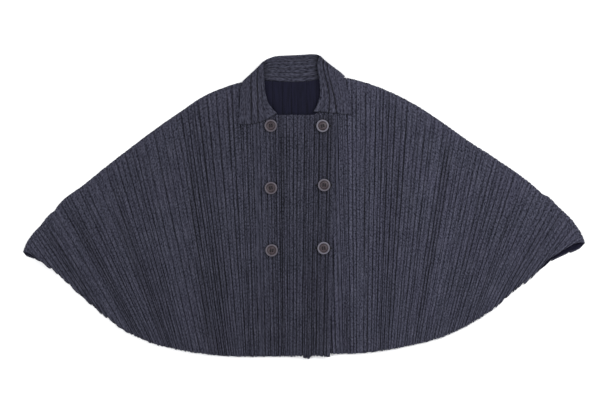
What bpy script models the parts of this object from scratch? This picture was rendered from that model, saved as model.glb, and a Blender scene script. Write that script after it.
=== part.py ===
"""A poncho coat of accordion pleated cloth, buttoned and laid flat on its back.

The photograph's left is -X, the collar is towards +Y and the cloth is stacked along +Z.
The origin is the middle of the space that the coat takes up, on the surface under it.
Sizes below are in millimetres and become metres when a mesh is made.
"""

import math
from collections import namedtuple

import bmesh
import bpy
from mathutils import Vector

MM = 0.001
COAT = "poncho_coat"

# Cloth
WALL = 1.7                  # thickness of a front, measured straight up
PLEAT_DEPTH = 2.0           # height from a groove to the ribs beside it
PLEAT_PITCH = 11.9          # one rib and one groove, half way down a front
BACK_PLEAT_PITCH = 13.2
RIB_SHARE = 0.60            # part of a pleat that is flat rib, the rest is groove
RIB_VARIATION = 0.10        # how much that part goes up and down across a panel
RIB_TURN = 2.4              # radians of that wave from one pleat to the next
LAST_GROOVE = 0.9           # height of the shallow last groove beside a panel's free edge
SCALLOP = 1.3               # ribs reach this far past the grooves at a cut edge
SEAM_PRESS = 0.3            # part of the pleat depth that is left at a pressed seam
LAYER_GAP = 0.4             # air between two cloths that lie on each other

# Heights of the layers, from the surface up
BACK_GROOVE = 1.4
BACK_RIB = 2.6
BACK_EDGE = 1.8
FRONT_UNDER = BACK_RIB + LAYER_GAP
FRONT_TOP = FRONT_UNDER + PLEAT_DEPTH + WALL
LAP_LIFT = FRONT_TOP + LAYER_GAP - FRONT_UNDER

# Collar
COLLAR_WALL = 1.6
COLLAR_RIB = 0.7
STAND_RIBS = 4
LEAF_RIBS = 5
FALL_MID = COLLAR_WALL / 2
NECK_LIFT = COLLAR_WALL + LAYER_GAP
BACK_STAND_RISE = 1.0       # middle of the stand at the back, over the leaf folded under it
FRONT_STAND_RISE = 1.8      # middle of the stand at the fronts, over the back's ribs
STAND_BACK_MID = NECK_LIFT + BACK_STAND_RISE
STAND_FRONT_MID = NECK_LIFT + FRONT_UNDER + FRONT_STAND_RISE
LEAF_MID = NECK_LIFT + FRONT_TOP + LAYER_GAP + COLLAR_WALL / 2
TURN_STEPS = 4
TURN_TAPER = 0.55           # the folds at the neck's sides get this much flatter to the leaf's edge
ROLL_STEPS = 4
ROLL_RADIUS = 0.9           # the least at the fold between stand and leaf
NECK_MIDDLE_X = -20.0

# Where the neck's thickness lifts the panels: full inside, none outside
NECK_LIFT_Y = (198.0, 236.0)
NECK_LIFT_X = (-176.0, -130.0, 88.0, 134.0)

# The free edge of the front that lies underneath, and the step that it makes
UNDER_EDGE_TOP_X = -26.0
UNDER_EDGE_HEM_X = 6.0
LAP_TOP_Y = 182.0
LAP_HEM_Y = -300.0
LAP_STEP_START = 28.0
LAP_STEP_END = 9.0

# Sleeve mouths: the front lip arches up between the two ends of the mouth
Mouth = namedtuple("Mouth", "inner_x inner_y tip_x tip_y arch reach")
MOUTHS = (
    Mouth(inner_x=480.0, inner_y=-118.0, tip_x=560.0, tip_y=-74.0, arch=9.0, reach=44.0),
    Mouth(inner_x=-494.0, inner_y=-133.0, tip_x=-562.0, tip_y=-94.0, arch=8.5, reach=42.0),
)
# Front and back are sewn along the shoulders and under the arms. Each pair of distances is where
# the pressed seam fades in or out: X beside the neck, else measured from the middle.
LEFT_SHOULDER_START = (-98.0, -112.0)
RIGHT_SHOULDER_START = (63.0, 77.0)
SHOULDER_END = (536.0, 556.0)
UNDERARM_START = (386.0, 400.0)
UNDERARM_END = (478.0, 488.0)

# Buttons
BUTTON_DIAMETER = 25.0
BUTTON_THICK = 3.5
BUTTON_STEPS = 20
BUTTON_FOOT = 0.8           # the part of its radius on which a leaning button stands
DRILL_DEPTH = 3 * BUTTON_THICK
HOLE_DIAMETER = 2.4
HOLE_RING = 3.2
HOLE_SIDES = 8
# Half a button's section, as parts of its radius and of its thickness
BUTTON_SECTION = (
    (0.0, 0.6), (0.66, 0.6), (0.76, 0.94), (0.90, 1.0), (1.0, 0.66), (0.95, 0.25), (0.76, 0.0),
    (0.0, 0.0),
)

# Cut edges of the panels, each from its left end to its right one
EdgePoint = namedtuple("EdgePoint", "x y")

LEFT_SHOULDER = (
    EdgePoint(-562, -94), EdgePoint(-559, -84.5), EdgePoint(-552, -69.5), EdgePoint(-542, -55.5),
    EdgePoint(-526, -38), EdgePoint(-512, -20), EdgePoint(-506, -14.5), EdgePoint(-499, -10),
    EdgePoint(-491, 1.5), EdgePoint(-479, 14.5), EdgePoint(-468, 23), EdgePoint(-444, 39.5),
    EdgePoint(-396, 78.5), EdgePoint(-348, 115.5), EdgePoint(-300, 151.5), EdgePoint(-252, 185),
    EdgePoint(-204, 217.5), EdgePoint(-180, 229), EdgePoint(-156, 238), EdgePoint(-130, 245),
    EdgePoint(-119, 246),
)
RIGHT_SHOULDER = (
    EdgePoint(76, 256.8), EdgePoint(84, 256), EdgePoint(132, 243.5), EdgePoint(180, 224.5),
    EdgePoint(228, 199), EdgePoint(276, 167.5), EdgePoint(324, 133), EdgePoint(372, 102),
    EdgePoint(420, 69.5), EdgePoint(450, 47.5), EdgePoint(468, 31.5), EdgePoint(478, 23),
    EdgePoint(486, 19.5), EdgePoint(494, 13), EdgePoint(504, 2.5), EdgePoint(514, -6.5),
    EdgePoint(527, -19), EdgePoint(538, -30.5), EdgePoint(546, -42), EdgePoint(553, -53.5),
    EdgePoint(559, -66), EdgePoint(562, -76),
)
BACK_NECKLINE = (
    EdgePoint(-102, 252.5), EdgePoint(-76, 250.5), EdgePoint(-48, 248.8), EdgePoint(-20, 248),
    EdgePoint(12, 250), EdgePoint(38, 255.3), EdgePoint(60, 259.5),
)
RIGHT_FRONT_NECKLINE = (
    EdgePoint(-103, 252.3), EdgePoint(-100.5, 236), EdgePoint(-95.5, 217), EdgePoint(-88, 201),
    EdgePoint(-78, 190), EdgePoint(-66, 182.5), EdgePoint(-60, 182), EdgePoint(63, 182),
)
LEFT_FRONT_NECKLINE = (
    EdgePoint(-26, 176), EdgePoint(12, 177.5), EdgePoint(24, 184.5), EdgePoint(33.5, 191.5),
    EdgePoint(45.5, 203), EdgePoint(56, 217), EdgePoint(62.5, 235), EdgePoint(64, 258.5),
)
BACK_LEFT_CUFF = (
    EdgePoint(-562, -94), EdgePoint(-557, -99), EdgePoint(-540, -105.5), EdgePoint(-516, -118.5),
)
FRONT_LEFT_CUFF = (
    EdgePoint(-562, -94), EdgePoint(-556, -93), EdgePoint(-546, -96.5), EdgePoint(-532, -106),
    EdgePoint(-516, -117.5),
)
LEFT_HEM = (
    EdgePoint(-492, -136), EdgePoint(-444, -180.5), EdgePoint(-396, -221.5),
    EdgePoint(-348, -254), EdgePoint(-300, -275), EdgePoint(-252, -287), EdgePoint(-204, -294.5),
    EdgePoint(-156, -300),
)
RIGHT_HEM = (
    EdgePoint(84, -295), EdgePoint(132, -292), EdgePoint(180, -285), EdgePoint(228, -275),
    EdgePoint(276, -261.5), EdgePoint(324, -239.5), EdgePoint(372, -209.5),
    EdgePoint(420, -169.5), EdgePoint(468, -131),
)
BACK_RIGHT_CUFF = (
    EdgePoint(492, -112.5), EdgePoint(524, -97), EdgePoint(550, -86), EdgePoint(560, -79),
    EdgePoint(562, -76),
)
FRONT_RIGHT_CUFF = (
    EdgePoint(479, -113), EdgePoint(486, -103), EdgePoint(496, -95), EdgePoint(509, -87),
    EdgePoint(520, -81.5), EdgePoint(531, -76), EdgePoint(540, -73), EdgePoint(550, -72),
    EdgePoint(557, -73), EdgePoint(562, -76),
)
RIGHT_FRONT_CENTRE_HEM = (EdgePoint(-84, -301), EdgePoint(56, -300))
LEFT_FRONT_CENTRE_HEM = (
    EdgePoint(0, -305.5), EdgePoint(10, -303), EdgePoint(24, -297), EdgePoint(50, -296),
)
BACK_CENTRE_HEM = (EdgePoint(-84, -298.5), EdgePoint(0, -297), EdgePoint(50, -295.5))

# Pleats run in straight lines from the shoulder or neck down to the hem
PleatLine = namedtuple("PleatLine", "top_x hem_x")
LEFT_SLEEVE_LINES = (
    PleatLine(-561.5, -555), PleatLine(-559, -536), PleatLine(-552, -512), PleatLine(-542, -482),
    PleatLine(-530, -424), PleatLine(-504, -368), PleatLine(-478, -328), PleatLine(-440, -296),
    PleatLine(-402, -272), PleatLine(-358, -248), PleatLine(-322, -222), PleatLine(-284, -194),
    PleatLine(-218, -152), PleatLine(-164, -124), PleatLine(-128, -108),
)
RIGHT_SLEEVE_LINES = (
    PleatLine(114, 112), PleatLine(148, 136), PleatLine(174, 154), PleatLine(208, 173),
    PleatLine(238, 190), PleatLine(288, 220), PleatLine(318, 243), PleatLine(348, 266),
    PleatLine(392, 296), PleatLine(426, 324), PleatLine(476, 362), PleatLine(508, 398),
    PleatLine(540, 464), PleatLine(551, 500), PleatLine(558, 528), PleatLine(561.5, 552),
)
RIGHT_FRONT_LINES = LEFT_SLEEVE_LINES + (PleatLine(-60, -52), PleatLine(0, -5), PleatLine(63, 52))
LEFT_FRONT_LINES = (
    PleatLine(UNDER_EDGE_TOP_X, UNDER_EDGE_HEM_X), PleatLine(66, 80),
) + RIGHT_SLEEVE_LINES
BACK_LINES = LEFT_SLEEVE_LINES + (PleatLine(-60, -52), PleatLine(20, 20)) + RIGHT_SLEEVE_LINES

# Rows of a panel: where each lies on the pleat line, and how far the seam at the upper edge or at
# the hem presses the cloth flat there, if there is one
Row = namedtuple("Row", "share top_press hem_press")
ROWS = (
    Row(share=0.0, top_press=1.0, hem_press=0.0), Row(share=0.03, top_press=0.0, hem_press=0.0),
    Row(share=0.10, top_press=0.0, hem_press=0.0), Row(share=0.50, top_press=0.0, hem_press=0.0),
    Row(share=0.96, top_press=0.0, hem_press=0.0), Row(share=1.0, top_press=0.0, hem_press=1.0),
)

# The collar, station by station along its length: where the neck seam, the roll and the leaf's
# edge lie, and how far the leaf's middle hangs below the straight line between the last two.
# The turns are its folds at the two sides of the neck.
Station = namedtuple("Station", "seam_x seam_y roll_x roll_y edge_x edge_y droop", defaults=(0.0,))
COLLAR_RIGHT_FRONT = (
    Station(-64, 184.0, -54, 184.5, -130, 163, 8.0), Station(-76.5, 192, -62, 192.5, -130, 178, 5.9),
    Station(-86.5, 203, -71.5, 204, -129, 194, 2.1), Station(-93.5, 218, -77, 222, -128, 210),
    Station(-98.5, 236, -79.3, 241, -126.5, 226), Station(-101, 248, -80.5, 264, -126, 238.5),
)
COLLAR_LEFT_TURN = Station(-100, 255.5, -79.5, 285.5, -121, 246.8)
COLLAR_BACK = (
    Station(-92, 253.5, -73.5, 291.5, -113, 242), Station(-76, 252, -57, 298, -86, 239.5),
    Station(-48, 250.2, -32, 300.5, -50, 238), Station(-20, 249.5, -8, 301.5, -18, 238),
    Station(12, 251.5, 12, 303, 16, 240), Station(40, 257.0, 26, 302.5, 50, 246),
)
COLLAR_RIGHT_TURN = Station(57.5, 262, 29.6, 297.2, 79.2, 257)
COLLAR_LEFT_FRONT = (
    Station(58.7, 258.5, 28, 289.5, 82, 253.5), Station(59.5, 252, 27, 276.5, 84, 246),
    Station(57.5, 238, 31, 255.5, 86, 236), Station(52, 220, 33, 235, 89, 222),
    Station(43, 206, 32.5, 218, 91.5, 208), Station(32.5, 195, 27, 202, 93.5, 195),
    Station(24, 188.5, 19.5, 188.5, 95, 182),
)

# Buttons: centre, the way the button leans on its thread, and which front it is on
Button = namedtuple("Button", "name x y lean_x lean_y base")
RIGHT_COLUMN_BASE = FRONT_TOP + LAP_LIFT
BUTTONS = (
    Button("button_right_top", -66.4, 160.6, 7.0, 2.0, FRONT_TOP),
    Button("button_right_middle", -66.0, 36.0, 4.0, -3.0, FRONT_TOP),
    Button("button_right_low", -64.6, -88.4, 6.0, 1.0, FRONT_TOP),
    Button("button_left_top", 36.8, 159.8, -2.0, 6.0, RIGHT_COLUMN_BASE),
    Button("button_left_middle", 40.0, 41.8, 2.0, 7.0, RIGHT_COLUMN_BASE),
    Button("button_left_low", 39.0, -84.0, 3.0, 5.0, RIGHT_COLUMN_BASE),
)

# Finishes: sRGB colour, roughness, metallic
Finish = namedtuple("Finish", "red green blue roughness metallic")
FINISHES = {
    "back": Finish(0.24, 0.24, 0.30, 0.9, 0.0),
    "front_right": Finish(0.29, 0.29, 0.35, 0.9, 0.0),
    "front_left": Finish(0.31, 0.30, 0.37, 0.9, 0.0),
    "collar": Finish(0.28, 0.28, 0.34, 0.9, 0.0),
    "button": Finish(0.45, 0.40, 0.41, 0.4, 0.0),
}


def clear_scene():
    """Start from nothing."""
    for thing in list(bpy.data.objects):
        bpy.data.objects.remove(thing, do_unlink=True)


def named_collection(name):
    """Make a collection of this name in the scene."""
    collection = bpy.data.collections.new(name)
    bpy.context.scene.collection.children.link(collection)
    return collection


def linear(value):
    """Turn one sRGB channel into linear light."""
    if value <= 0.04045:
        return value / 12.92
    return ((value + 0.055) / 1.055) ** 2.4


def finish_material(name, finish):
    """Give a piece its own plain material."""
    material = bpy.data.materials.new(name)
    material.use_nodes = True
    shader = material.node_tree.nodes["Principled BSDF"]
    colour = (linear(finish.red), linear(finish.green), linear(finish.blue), 1.0)
    shader.inputs["Base Color"].default_value = colour
    shader.inputs["Roughness"].default_value = finish.roughness
    shader.inputs["Metallic"].default_value = finish.metallic
    material.diffuse_color = colour
    return material


def ramp(value, start, end):
    """Rise evenly from 0 at start to 1 at end."""
    return min(1.0, max(0.0, (value - start) / (end - start)))


def soft_step(value, start, end):
    """Rise from 0 to 1 with no corner at either end."""
    share = ramp(value, start, end)
    return share * share * (3.0 - 2.0 * share)


def edge_slopes(points):
    """Slope of a cut edge at each of its points, level where the edge turns back."""
    steps = []
    for a, b in zip(points, points[1:]):
        steps.append((b.y - a.y) / (b.x - a.x))
    slopes = [steps[0]]
    for before, after in zip(steps, steps[1:]):
        if before * after <= 0.0:
            slopes.append(0.0)
        else:
            slopes.append(2.0 * before * after / (before + after))
    slopes.append(steps[-1])
    return slopes


def edge_height(points, x):
    """Height of a cut edge above x, on a smooth curve through its points."""
    slopes = edge_slopes(points)
    x = min(max(x, points[0].x), points[-1].x)
    for i, (a, b) in enumerate(zip(points, points[1:])):
        if x <= b.x:
            width = b.x - a.x
            t = (x - a.x) / width
            start = (1 + 2 * t) * (1 - t) ** 2 * a.y + t * (1 - t) ** 2 * width * slopes[i]
            end = t * t * (3 - 2 * t) * b.y + t * t * (t - 1) * width * slopes[i + 1]
            return start + end
    return points[-1].y


def line_ends(line, top, hem):
    """The two ends of a pleat line on a panel's edges."""
    upper = Vector((line.top_x, edge_height(top, line.top_x)))
    lower = Vector((line.hem_x, edge_height(hem, line.hem_x)))
    return upper, lower


def line_spacings(lines, top, hem):
    """How far each pleat line is from the first, measured half way down and across."""
    reach = [0.0]
    for a, b in zip(lines, lines[1:]):
        a_top, a_hem = line_ends(a, top, hem)
        b_top, b_hem = line_ends(b, top, hem)
        step = (b_top + b_hem - a_top - a_hem) / 2
        along = (a_hem - a_top + b_hem - b_top).normalized()
        reach.append(reach[-1] + abs(step.cross(along)))
    return reach


def line_at(lines, reach, distance):
    """The pleat line that lies this far across the panel."""
    for i in range(len(lines) - 1):
        if distance <= reach[i + 1] or i == len(lines) - 2:
            share = (distance - reach[i]) / (reach[i + 1] - reach[i])
            a, b = lines[i], lines[i + 1]
            top_x = a.top_x + (b.top_x - a.top_x) * share
            return PleatLine(top_x, a.hem_x + (b.hem_x - a.hem_x) * share)
    return lines[-1]


def pleat_columns(lines, top, hem, pitch, flat_ribs):
    """Every fold line of a panel, with 1 on a rib and 0 in a groove."""
    reach = line_spacings(lines, top, hem)
    pleats = round(reach[-1] / pitch)
    columns = []
    for i in range(pleats):
        rib = RIB_SHARE + RIB_VARIATION * math.sin(RIB_TURN * i)
        folds = [(0.0, 1.0), (0.5, 0.0)]
        if flat_ribs:
            folds = [(0.0, 1.0), (rib, 1.0), ((1.0 + rib) / 2, 0.0)]
        if i == pleats - 1:
            folds = [(0.0, 1.0), (0.5, LAST_GROOVE), (1.0, 1.0)]
        for share, crest in folds:
            distance = (i + share) / pleats * reach[-1]
            columns.append((line_at(lines, reach, distance), crest))
    return columns


def neck_lift(x, y):
    """How much the folded collar under the neck lifts the cloth there."""
    outer_left, inner_left, inner_right, outer_right = NECK_LIFT_X
    across = min(ramp(x, outer_left, inner_left), 1.0 - ramp(x, inner_right, outer_right))
    return NECK_LIFT * across * ramp(y, *NECK_LIFT_Y)


def lap_lift(x, y):
    """How much the top front is lifted by the front that lies under it."""
    share = (LAP_TOP_Y - y) / (LAP_TOP_Y - LAP_HEM_Y)
    edge_x = UNDER_EDGE_TOP_X + (UNDER_EDGE_HEM_X - UNDER_EDGE_TOP_X) * share
    return LAP_LIFT * soft_step(x, edge_x - LAP_STEP_START, edge_x - LAP_STEP_END)


def mouth_lift(x, y):
    """How much a front arches up over a sleeve mouth."""
    lift = 0.0
    for mouth in MOUTHS:
        inner = Vector((mouth.inner_x, mouth.inner_y))
        chord = Vector((mouth.tip_x, mouth.tip_y)) - inner
        place = Vector((x, y)) - inner
        along = place.dot(chord) / chord.length_squared
        away = abs(place.cross(chord)) / chord.length
        if 0.0 < along < 1.0 and away < mouth.reach:
            arch = math.sin(math.pi * along) * (1.0 - soft_step(away, 0.0, mouth.reach))
            lift += mouth.arch * arch
    return lift


def shoulder_press(x):
    """1 where the upper edge is sewn, fading to 0 at the neck and at the sleeve's tip."""
    press = ramp(x, *LEFT_SHOULDER_START) + ramp(x, *RIGHT_SHOULDER_START)
    return press * (1.0 - ramp(abs(x), *SHOULDER_END))


def underarm_press(x):
    """1 where the lower edge is sewn between sleeve mouth and open hem, else 0."""
    return ramp(abs(x), *UNDERARM_START) * (1.0 - ramp(abs(x), *UNDERARM_END))


def panel_grid(lines, top, hem, pitch, flat_ribs, faces_at):
    """Points of a panel's upper and lower face, column by column."""
    upper = []
    lower = []
    for line, crest in pleat_columns(lines, top, hem, pitch, flat_ribs):
        start, end = line_ends(line, top, hem)
        along = (end - start).normalized()
        start = start - along * SCALLOP * (crest - 1.0)
        end = end + along * SCALLOP * (crest - 1.0)
        upper_column = []
        lower_column = []
        for row in ROWS:
            place = start.lerp(end, row.share)
            press = row.top_press * shoulder_press(place.x)
            press = max(press, row.hem_press * underarm_press(place.x))
            low, high = faces_at(place.x, place.y, crest, press)
            lower_column.append(Vector((place.x, place.y, low)))
            upper_column.append(Vector((place.x, place.y, high)))
        upper.append(upper_column)
        lower.append(lower_column)
    return upper, lower


def back_faces(x, y, crest, press):
    """Lower and upper face of the back: flat below, pleated above."""
    lift = neck_lift(x, y)
    rib = BACK_RIB + (BACK_EDGE - BACK_RIB) * press
    return lift, lift + BACK_GROOVE + (rib - BACK_GROOVE) * crest


def front_faces(x, y, crest, press):
    """Lower and upper face of a front, on the back."""
    pleat = PLEAT_DEPTH * crest * (1.0 - (1.0 - SEAM_PRESS) * press)
    base = FRONT_UNDER + (BACK_EDGE - BACK_RIB) * press + neck_lift(x, y) + mouth_lift(x, y)
    wall = WALL * (1.0 - SEAM_PRESS * press)
    return base + pleat, base + pleat + wall


def top_front_faces(x, y, crest, press):
    """Lower and upper face of the front that laps over the other."""
    low, high = front_faces(x, y, crest, press)
    lift = lap_lift(x, y)
    return low + lift, high + lift


def closed_shell(name, upper, lower, collection):
    """Join an upper and a lower grid of points into one closed wall."""
    mesh = bmesh.new()
    tops = [[mesh.verts.new(point * MM) for point in column] for column in upper]
    feet = [[mesh.verts.new(point * MM) for point in column] for column in lower]
    columns = len(tops)
    rows = len(tops[0])
    for i in range(columns - 1):
        for j in range(rows - 1):
            mesh.faces.new((tops[i][j], tops[i][j + 1], tops[i + 1][j + 1], tops[i + 1][j]))
            mesh.faces.new((feet[i][j], feet[i + 1][j], feet[i + 1][j + 1], feet[i][j + 1]))
        mesh.faces.new((tops[i][0], tops[i + 1][0], feet[i + 1][0], feet[i][0]))
        mesh.faces.new((tops[i + 1][-1], tops[i][-1], feet[i][-1], feet[i + 1][-1]))
    for j in range(rows - 1):
        mesh.faces.new((tops[0][j + 1], tops[0][j], feet[0][j], feet[0][j + 1]))
        mesh.faces.new((tops[-1][j], tops[-1][j + 1], feet[-1][j + 1], feet[-1][j]))
    bmesh.ops.recalc_face_normals(mesh, faces=mesh.faces)
    data = bpy.data.meshes.new(name)
    mesh.to_mesh(data)
    mesh.free()
    piece = bpy.data.objects.new(name, data)
    collection.objects.link(piece)
    data.materials.append(finish_material(name, FINISHES[name]))
    return piece


def collar_profile(station, turn):
    """Middle of the collar's wall at one station, from the neck seam round to the leaf's edge.

    turn goes from 0 where the collar lies under the back of the neck to 1 on the fronts. The
    stand and the leaf swing round centres half way up as it does.
    """
    angle = math.pi * turn
    seam = Vector((station.seam_x, station.seam_y))
    roll = Vector((station.roll_x, station.roll_y))
    edge = Vector((station.edge_x, station.edge_y))
    side = 1.0 if (station.edge_x + station.roll_x) / 2 > NECK_MIDDLE_X else -1.0
    fold = (edge - roll).normalized()
    outward = Vector((-fold.y, fold.x)) * side
    stand_centre = (STAND_BACK_MID + STAND_FRONT_MID) / 2
    stand_swing = (STAND_FRONT_MID - STAND_BACK_MID) / 2
    leaf_centre = (FALL_MID + LEAF_MID) / 2
    leaf_swing = (LEAF_MID - FALL_MID) / 2
    profile = []

    def add(place, ply, rib, down_leaf=0.0):
        centre = stand_centre + (leaf_centre - stand_centre) * ply
        swing = stand_swing + (leaf_swing - stand_swing) * ply
        if ply < 0.5:
            swing -= rib * (1.0 - turn)
        else:
            swing += rib * turn
        bulge = swing * math.sin(angle) * (1.0 - TURN_TAPER * down_leaf)
        spot = place + outward * bulge
        height = centre - swing * math.cos(angle)
        if turn == 1.0:
            lift = neck_lift(place.x, place.y)
            if side < 0.0:
                lift += lap_lift(place.x, place.y)
            height += lift - NECK_LIFT
        profile.append(Vector((spot.x, spot.y, height)))

    stand_z = stand_centre - stand_swing * math.cos(angle)
    leaf_z = leaf_centre - leaf_swing * math.cos(angle)
    radius = max(abs(leaf_z - stand_z) / 2, ROLL_RADIUS)
    stand_top = roll + (seam - roll).normalized() * radius
    leaf_top = roll + (edge - roll).normalized() * radius
    stand_folds = 2 * STAND_RIBS
    for i in range(stand_folds + 1):
        add(seam.lerp(stand_top, i / stand_folds), 0.0, COLLAR_RIB * (i % 2))
    for i in range(1, ROLL_STEPS):
        bend = math.pi * i / ROLL_STEPS
        inner = stand_top.lerp(leaf_top, (1.0 - math.cos(bend)) / 2)
        place = inner.lerp(roll, math.sin(bend))
        add(place, (1.0 - math.cos(bend)) / 2, 0.0)
    leaf_folds = 2 * LEAF_RIBS
    for i in range(leaf_folds + 1):
        share = i / leaf_folds
        droop = Vector((0.0, station.droop * math.sin(math.pi * share)))
        add(leaf_top.lerp(edge, share) - droop, 1.0, COLLAR_RIB * (i % 2), share)
    return profile


def collar_profiles():
    """All stations of the collar, from one front end round the neck to the other."""
    stations = [(station, 1.0) for station in COLLAR_RIGHT_FRONT]
    for i in range(TURN_STEPS + 1):
        stations.append((COLLAR_LEFT_TURN, 1.0 - i / TURN_STEPS))
    for station in COLLAR_BACK:
        stations.append((station, 0.0))
    for i in range(TURN_STEPS + 1):
        stations.append((COLLAR_RIGHT_TURN, i / TURN_STEPS))
    for station in COLLAR_LEFT_FRONT:
        stations.append((station, 1.0))
    return [collar_profile(station, turn) for station, turn in stations]


def make_collar(collection):
    """The collar: one ribbed strip with a thickness."""
    profiles = collar_profiles()
    mesh = bmesh.new()
    grid = [[mesh.verts.new(point * MM) for point in profile] for profile in profiles]
    for a, b in zip(grid, grid[1:]):
        for j in range(len(a) - 1):
            mesh.faces.new((a[j], a[j + 1], b[j + 1], b[j]))
    data = bpy.data.meshes.new("collar")
    mesh.to_mesh(data)
    mesh.free()
    piece = bpy.data.objects.new("collar", data)
    collection.objects.link(piece)
    data.materials.append(finish_material("collar", FINISHES["collar"]))
    wall = piece.modifiers.new("wall", "SOLIDIFY")
    wall.thickness = COLLAR_WALL * MM
    wall.offset = 0.0
    wall.use_even_offset = False
    return piece


def make_panels(collection):
    """The back and the two fronts, from the surface up."""
    back_top = LEFT_SHOULDER + BACK_NECKLINE + RIGHT_SHOULDER
    back_hem = BACK_LEFT_CUFF + LEFT_HEM + BACK_CENTRE_HEM + RIGHT_HEM + BACK_RIGHT_CUFF
    grid = panel_grid(BACK_LINES, back_top, back_hem, BACK_PLEAT_PITCH, False, back_faces)
    closed_shell("back", *grid, collection)
    left_top = LEFT_FRONT_NECKLINE + RIGHT_SHOULDER
    left_hem = LEFT_FRONT_CENTRE_HEM + RIGHT_HEM + FRONT_RIGHT_CUFF
    grid = panel_grid(LEFT_FRONT_LINES, left_top, left_hem, PLEAT_PITCH, True, front_faces)
    closed_shell("front_left", *grid, collection)
    right_top = LEFT_SHOULDER + RIGHT_FRONT_NECKLINE
    right_hem = FRONT_LEFT_CUFF + LEFT_HEM + RIGHT_FRONT_CENTRE_HEM
    grid = panel_grid(RIGHT_FRONT_LINES, right_top, right_hem, PLEAT_PITCH, True, top_front_faces)
    closed_shell("front_right", *grid, collection)


def button_disc():
    """Half a button's section, ready to be turned round: a raised rim round a dished face."""
    data = bpy.data.meshes.new("button_section")
    points = []
    for radius_share, thick_share in BUTTON_SECTION:
        x = radius_share * BUTTON_DIAMETER / 2
        points.append((x * MM, 0.0, thick_share * BUTTON_THICK * MM))
    edges = [(i, i + 1) for i in range(len(points) - 1)]
    data.from_pydata(points, edges, [])
    return data


def button_drill(collection):
    """Four drills in a square, for the holes."""
    mesh = bmesh.new()
    for quarter in range(4):
        angle = math.pi / 4 + quarter * math.pi / 2
        ring = bmesh.ops.create_cone(
            mesh, cap_ends=True, segments=HOLE_SIDES, depth=DRILL_DEPTH * MM,
            radius1=HOLE_DIAMETER / 2 * MM, radius2=HOLE_DIAMETER / 2 * MM)
        shift = Vector((math.cos(angle), math.sin(angle), 0.0)) * HOLE_RING * MM
        bmesh.ops.translate(mesh, verts=ring["verts"], vec=shift)
    data = bpy.data.meshes.new("button_drill")
    mesh.to_mesh(data)
    mesh.free()
    drill = bpy.data.objects.new("button_drill", data)
    drill.hide_render = True
    drill.display_type = "WIRE"
    collection.objects.link(drill)
    return drill


def make_buttons(collection, cutters):
    """Six four-hole buttons, each leaning a little on its thread."""
    for button in BUTTONS:
        disc = bpy.data.objects.new(button.name, button_disc())
        collection.objects.link(disc)
        disc.data.materials.append(finish_material(button.name, FINISHES["button"]))
        turn = disc.modifiers.new("turn", "SCREW")
        turn.steps = BUTTON_STEPS
        turn.render_steps = BUTTON_STEPS
        turn.use_merge_vertices = True
        turn.merge_threshold = 0.00001
        turn.use_smooth_shade = True
        drill = button_drill(cutters)
        drill.parent = disc
        holes = disc.modifiers.new("holes", "BOOLEAN")
        holes.operation = "DIFFERENCE"
        holes.object = drill
        lean = (math.radians(button.lean_x), math.radians(button.lean_y))
        foot = BUTTON_FOOT * BUTTON_DIAMETER / 2
        rise = foot * math.hypot(math.sin(lean[0]), math.sin(lean[1]))
        height = button.base + LAYER_GAP + rise
        disc.location = Vector((button.x, button.y, height)) * MM
        disc.rotation_euler = (lean[0], lean[1], 0.0)


def main():
    """Build the coat."""
    clear_scene()
    coat = named_collection(COAT)
    cutters = named_collection("cutters")
    make_panels(coat)
    make_collar(coat)
    make_buttons(coat, cutters)


main()
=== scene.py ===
"""Looks of the pleated poncho coat, laid flat on a pale floor.

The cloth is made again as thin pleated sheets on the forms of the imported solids, with uneven
pleats, soft troughs, a turned edge, stitches, buttonholes and buttons sewn on with thread.
Lengths are in millimetres until a mesh is made, and X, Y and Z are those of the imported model.
The two fronts and the buttons are named for the wearer's side. Shoulders, sleeves, hems, cuffs
and the collar's turns are named for the photograph's side, where left is -X.
"""

import math
from collections import namedtuple
from functools import partial

import bpy
import numpy as np
from mathutils import Euler, Matrix, Vector


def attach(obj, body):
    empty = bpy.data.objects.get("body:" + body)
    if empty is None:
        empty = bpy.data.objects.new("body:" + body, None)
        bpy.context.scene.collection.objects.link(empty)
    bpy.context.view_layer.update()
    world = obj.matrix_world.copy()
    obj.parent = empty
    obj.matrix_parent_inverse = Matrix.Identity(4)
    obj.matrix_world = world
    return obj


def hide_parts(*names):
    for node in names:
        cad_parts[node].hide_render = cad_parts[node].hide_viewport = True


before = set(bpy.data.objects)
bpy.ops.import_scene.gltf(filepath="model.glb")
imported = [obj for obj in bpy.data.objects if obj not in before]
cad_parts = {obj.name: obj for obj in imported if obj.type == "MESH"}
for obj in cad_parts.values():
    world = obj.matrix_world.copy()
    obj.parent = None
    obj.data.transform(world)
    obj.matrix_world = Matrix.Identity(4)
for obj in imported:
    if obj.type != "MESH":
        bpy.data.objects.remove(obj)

bl_info = {
    "name": "Pleated poncho coat",
    "version": (1, 0, 0),
    "blender": (4, 5, 0),
    "location": "3D View > Sidebar > Poncho",
    "description": "Dresses the packed coat in pleated cloth, thread and buttons",
    "category": "Object",
}

MM = 0.001
BODY = "root"

# Heights of the cloth layers above the floor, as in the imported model
FRONT_UNDER = 3.0
LAYER_GAP = 0.4
FRONT_TOP = 6.7
LAP_LIFT = FRONT_TOP + LAYER_GAP - FRONT_UNDER
SEAM_DROP = 0.8                 # a sewn edge of a front comes down this far onto the back
SEAM_PRESS = 0.3                # part of the pleat depth that is left there
SEAM_SHARE = 0.03               # part of a pleat's length that a pressed seam takes up

# Where the folded collar under the neck lifts the panels
NECK_LIFT = 2.0
NECK_LIFT_Y = (198.0, 236.0)
NECK_LIFT_X = (-176.0, -130.0, 88.0, 134.0)

# The free edge of the front that lies underneath, and the step it makes in the one on top
UNDER_EDGE_TOP_X = -26.0
UNDER_EDGE_HEM_X = -2.0
LAP_TOP_Y = 182.0
LAP_HEM_Y = -300.0
LAP_STEP_START = 28.0
LAP_STEP_END = 9.0

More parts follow.
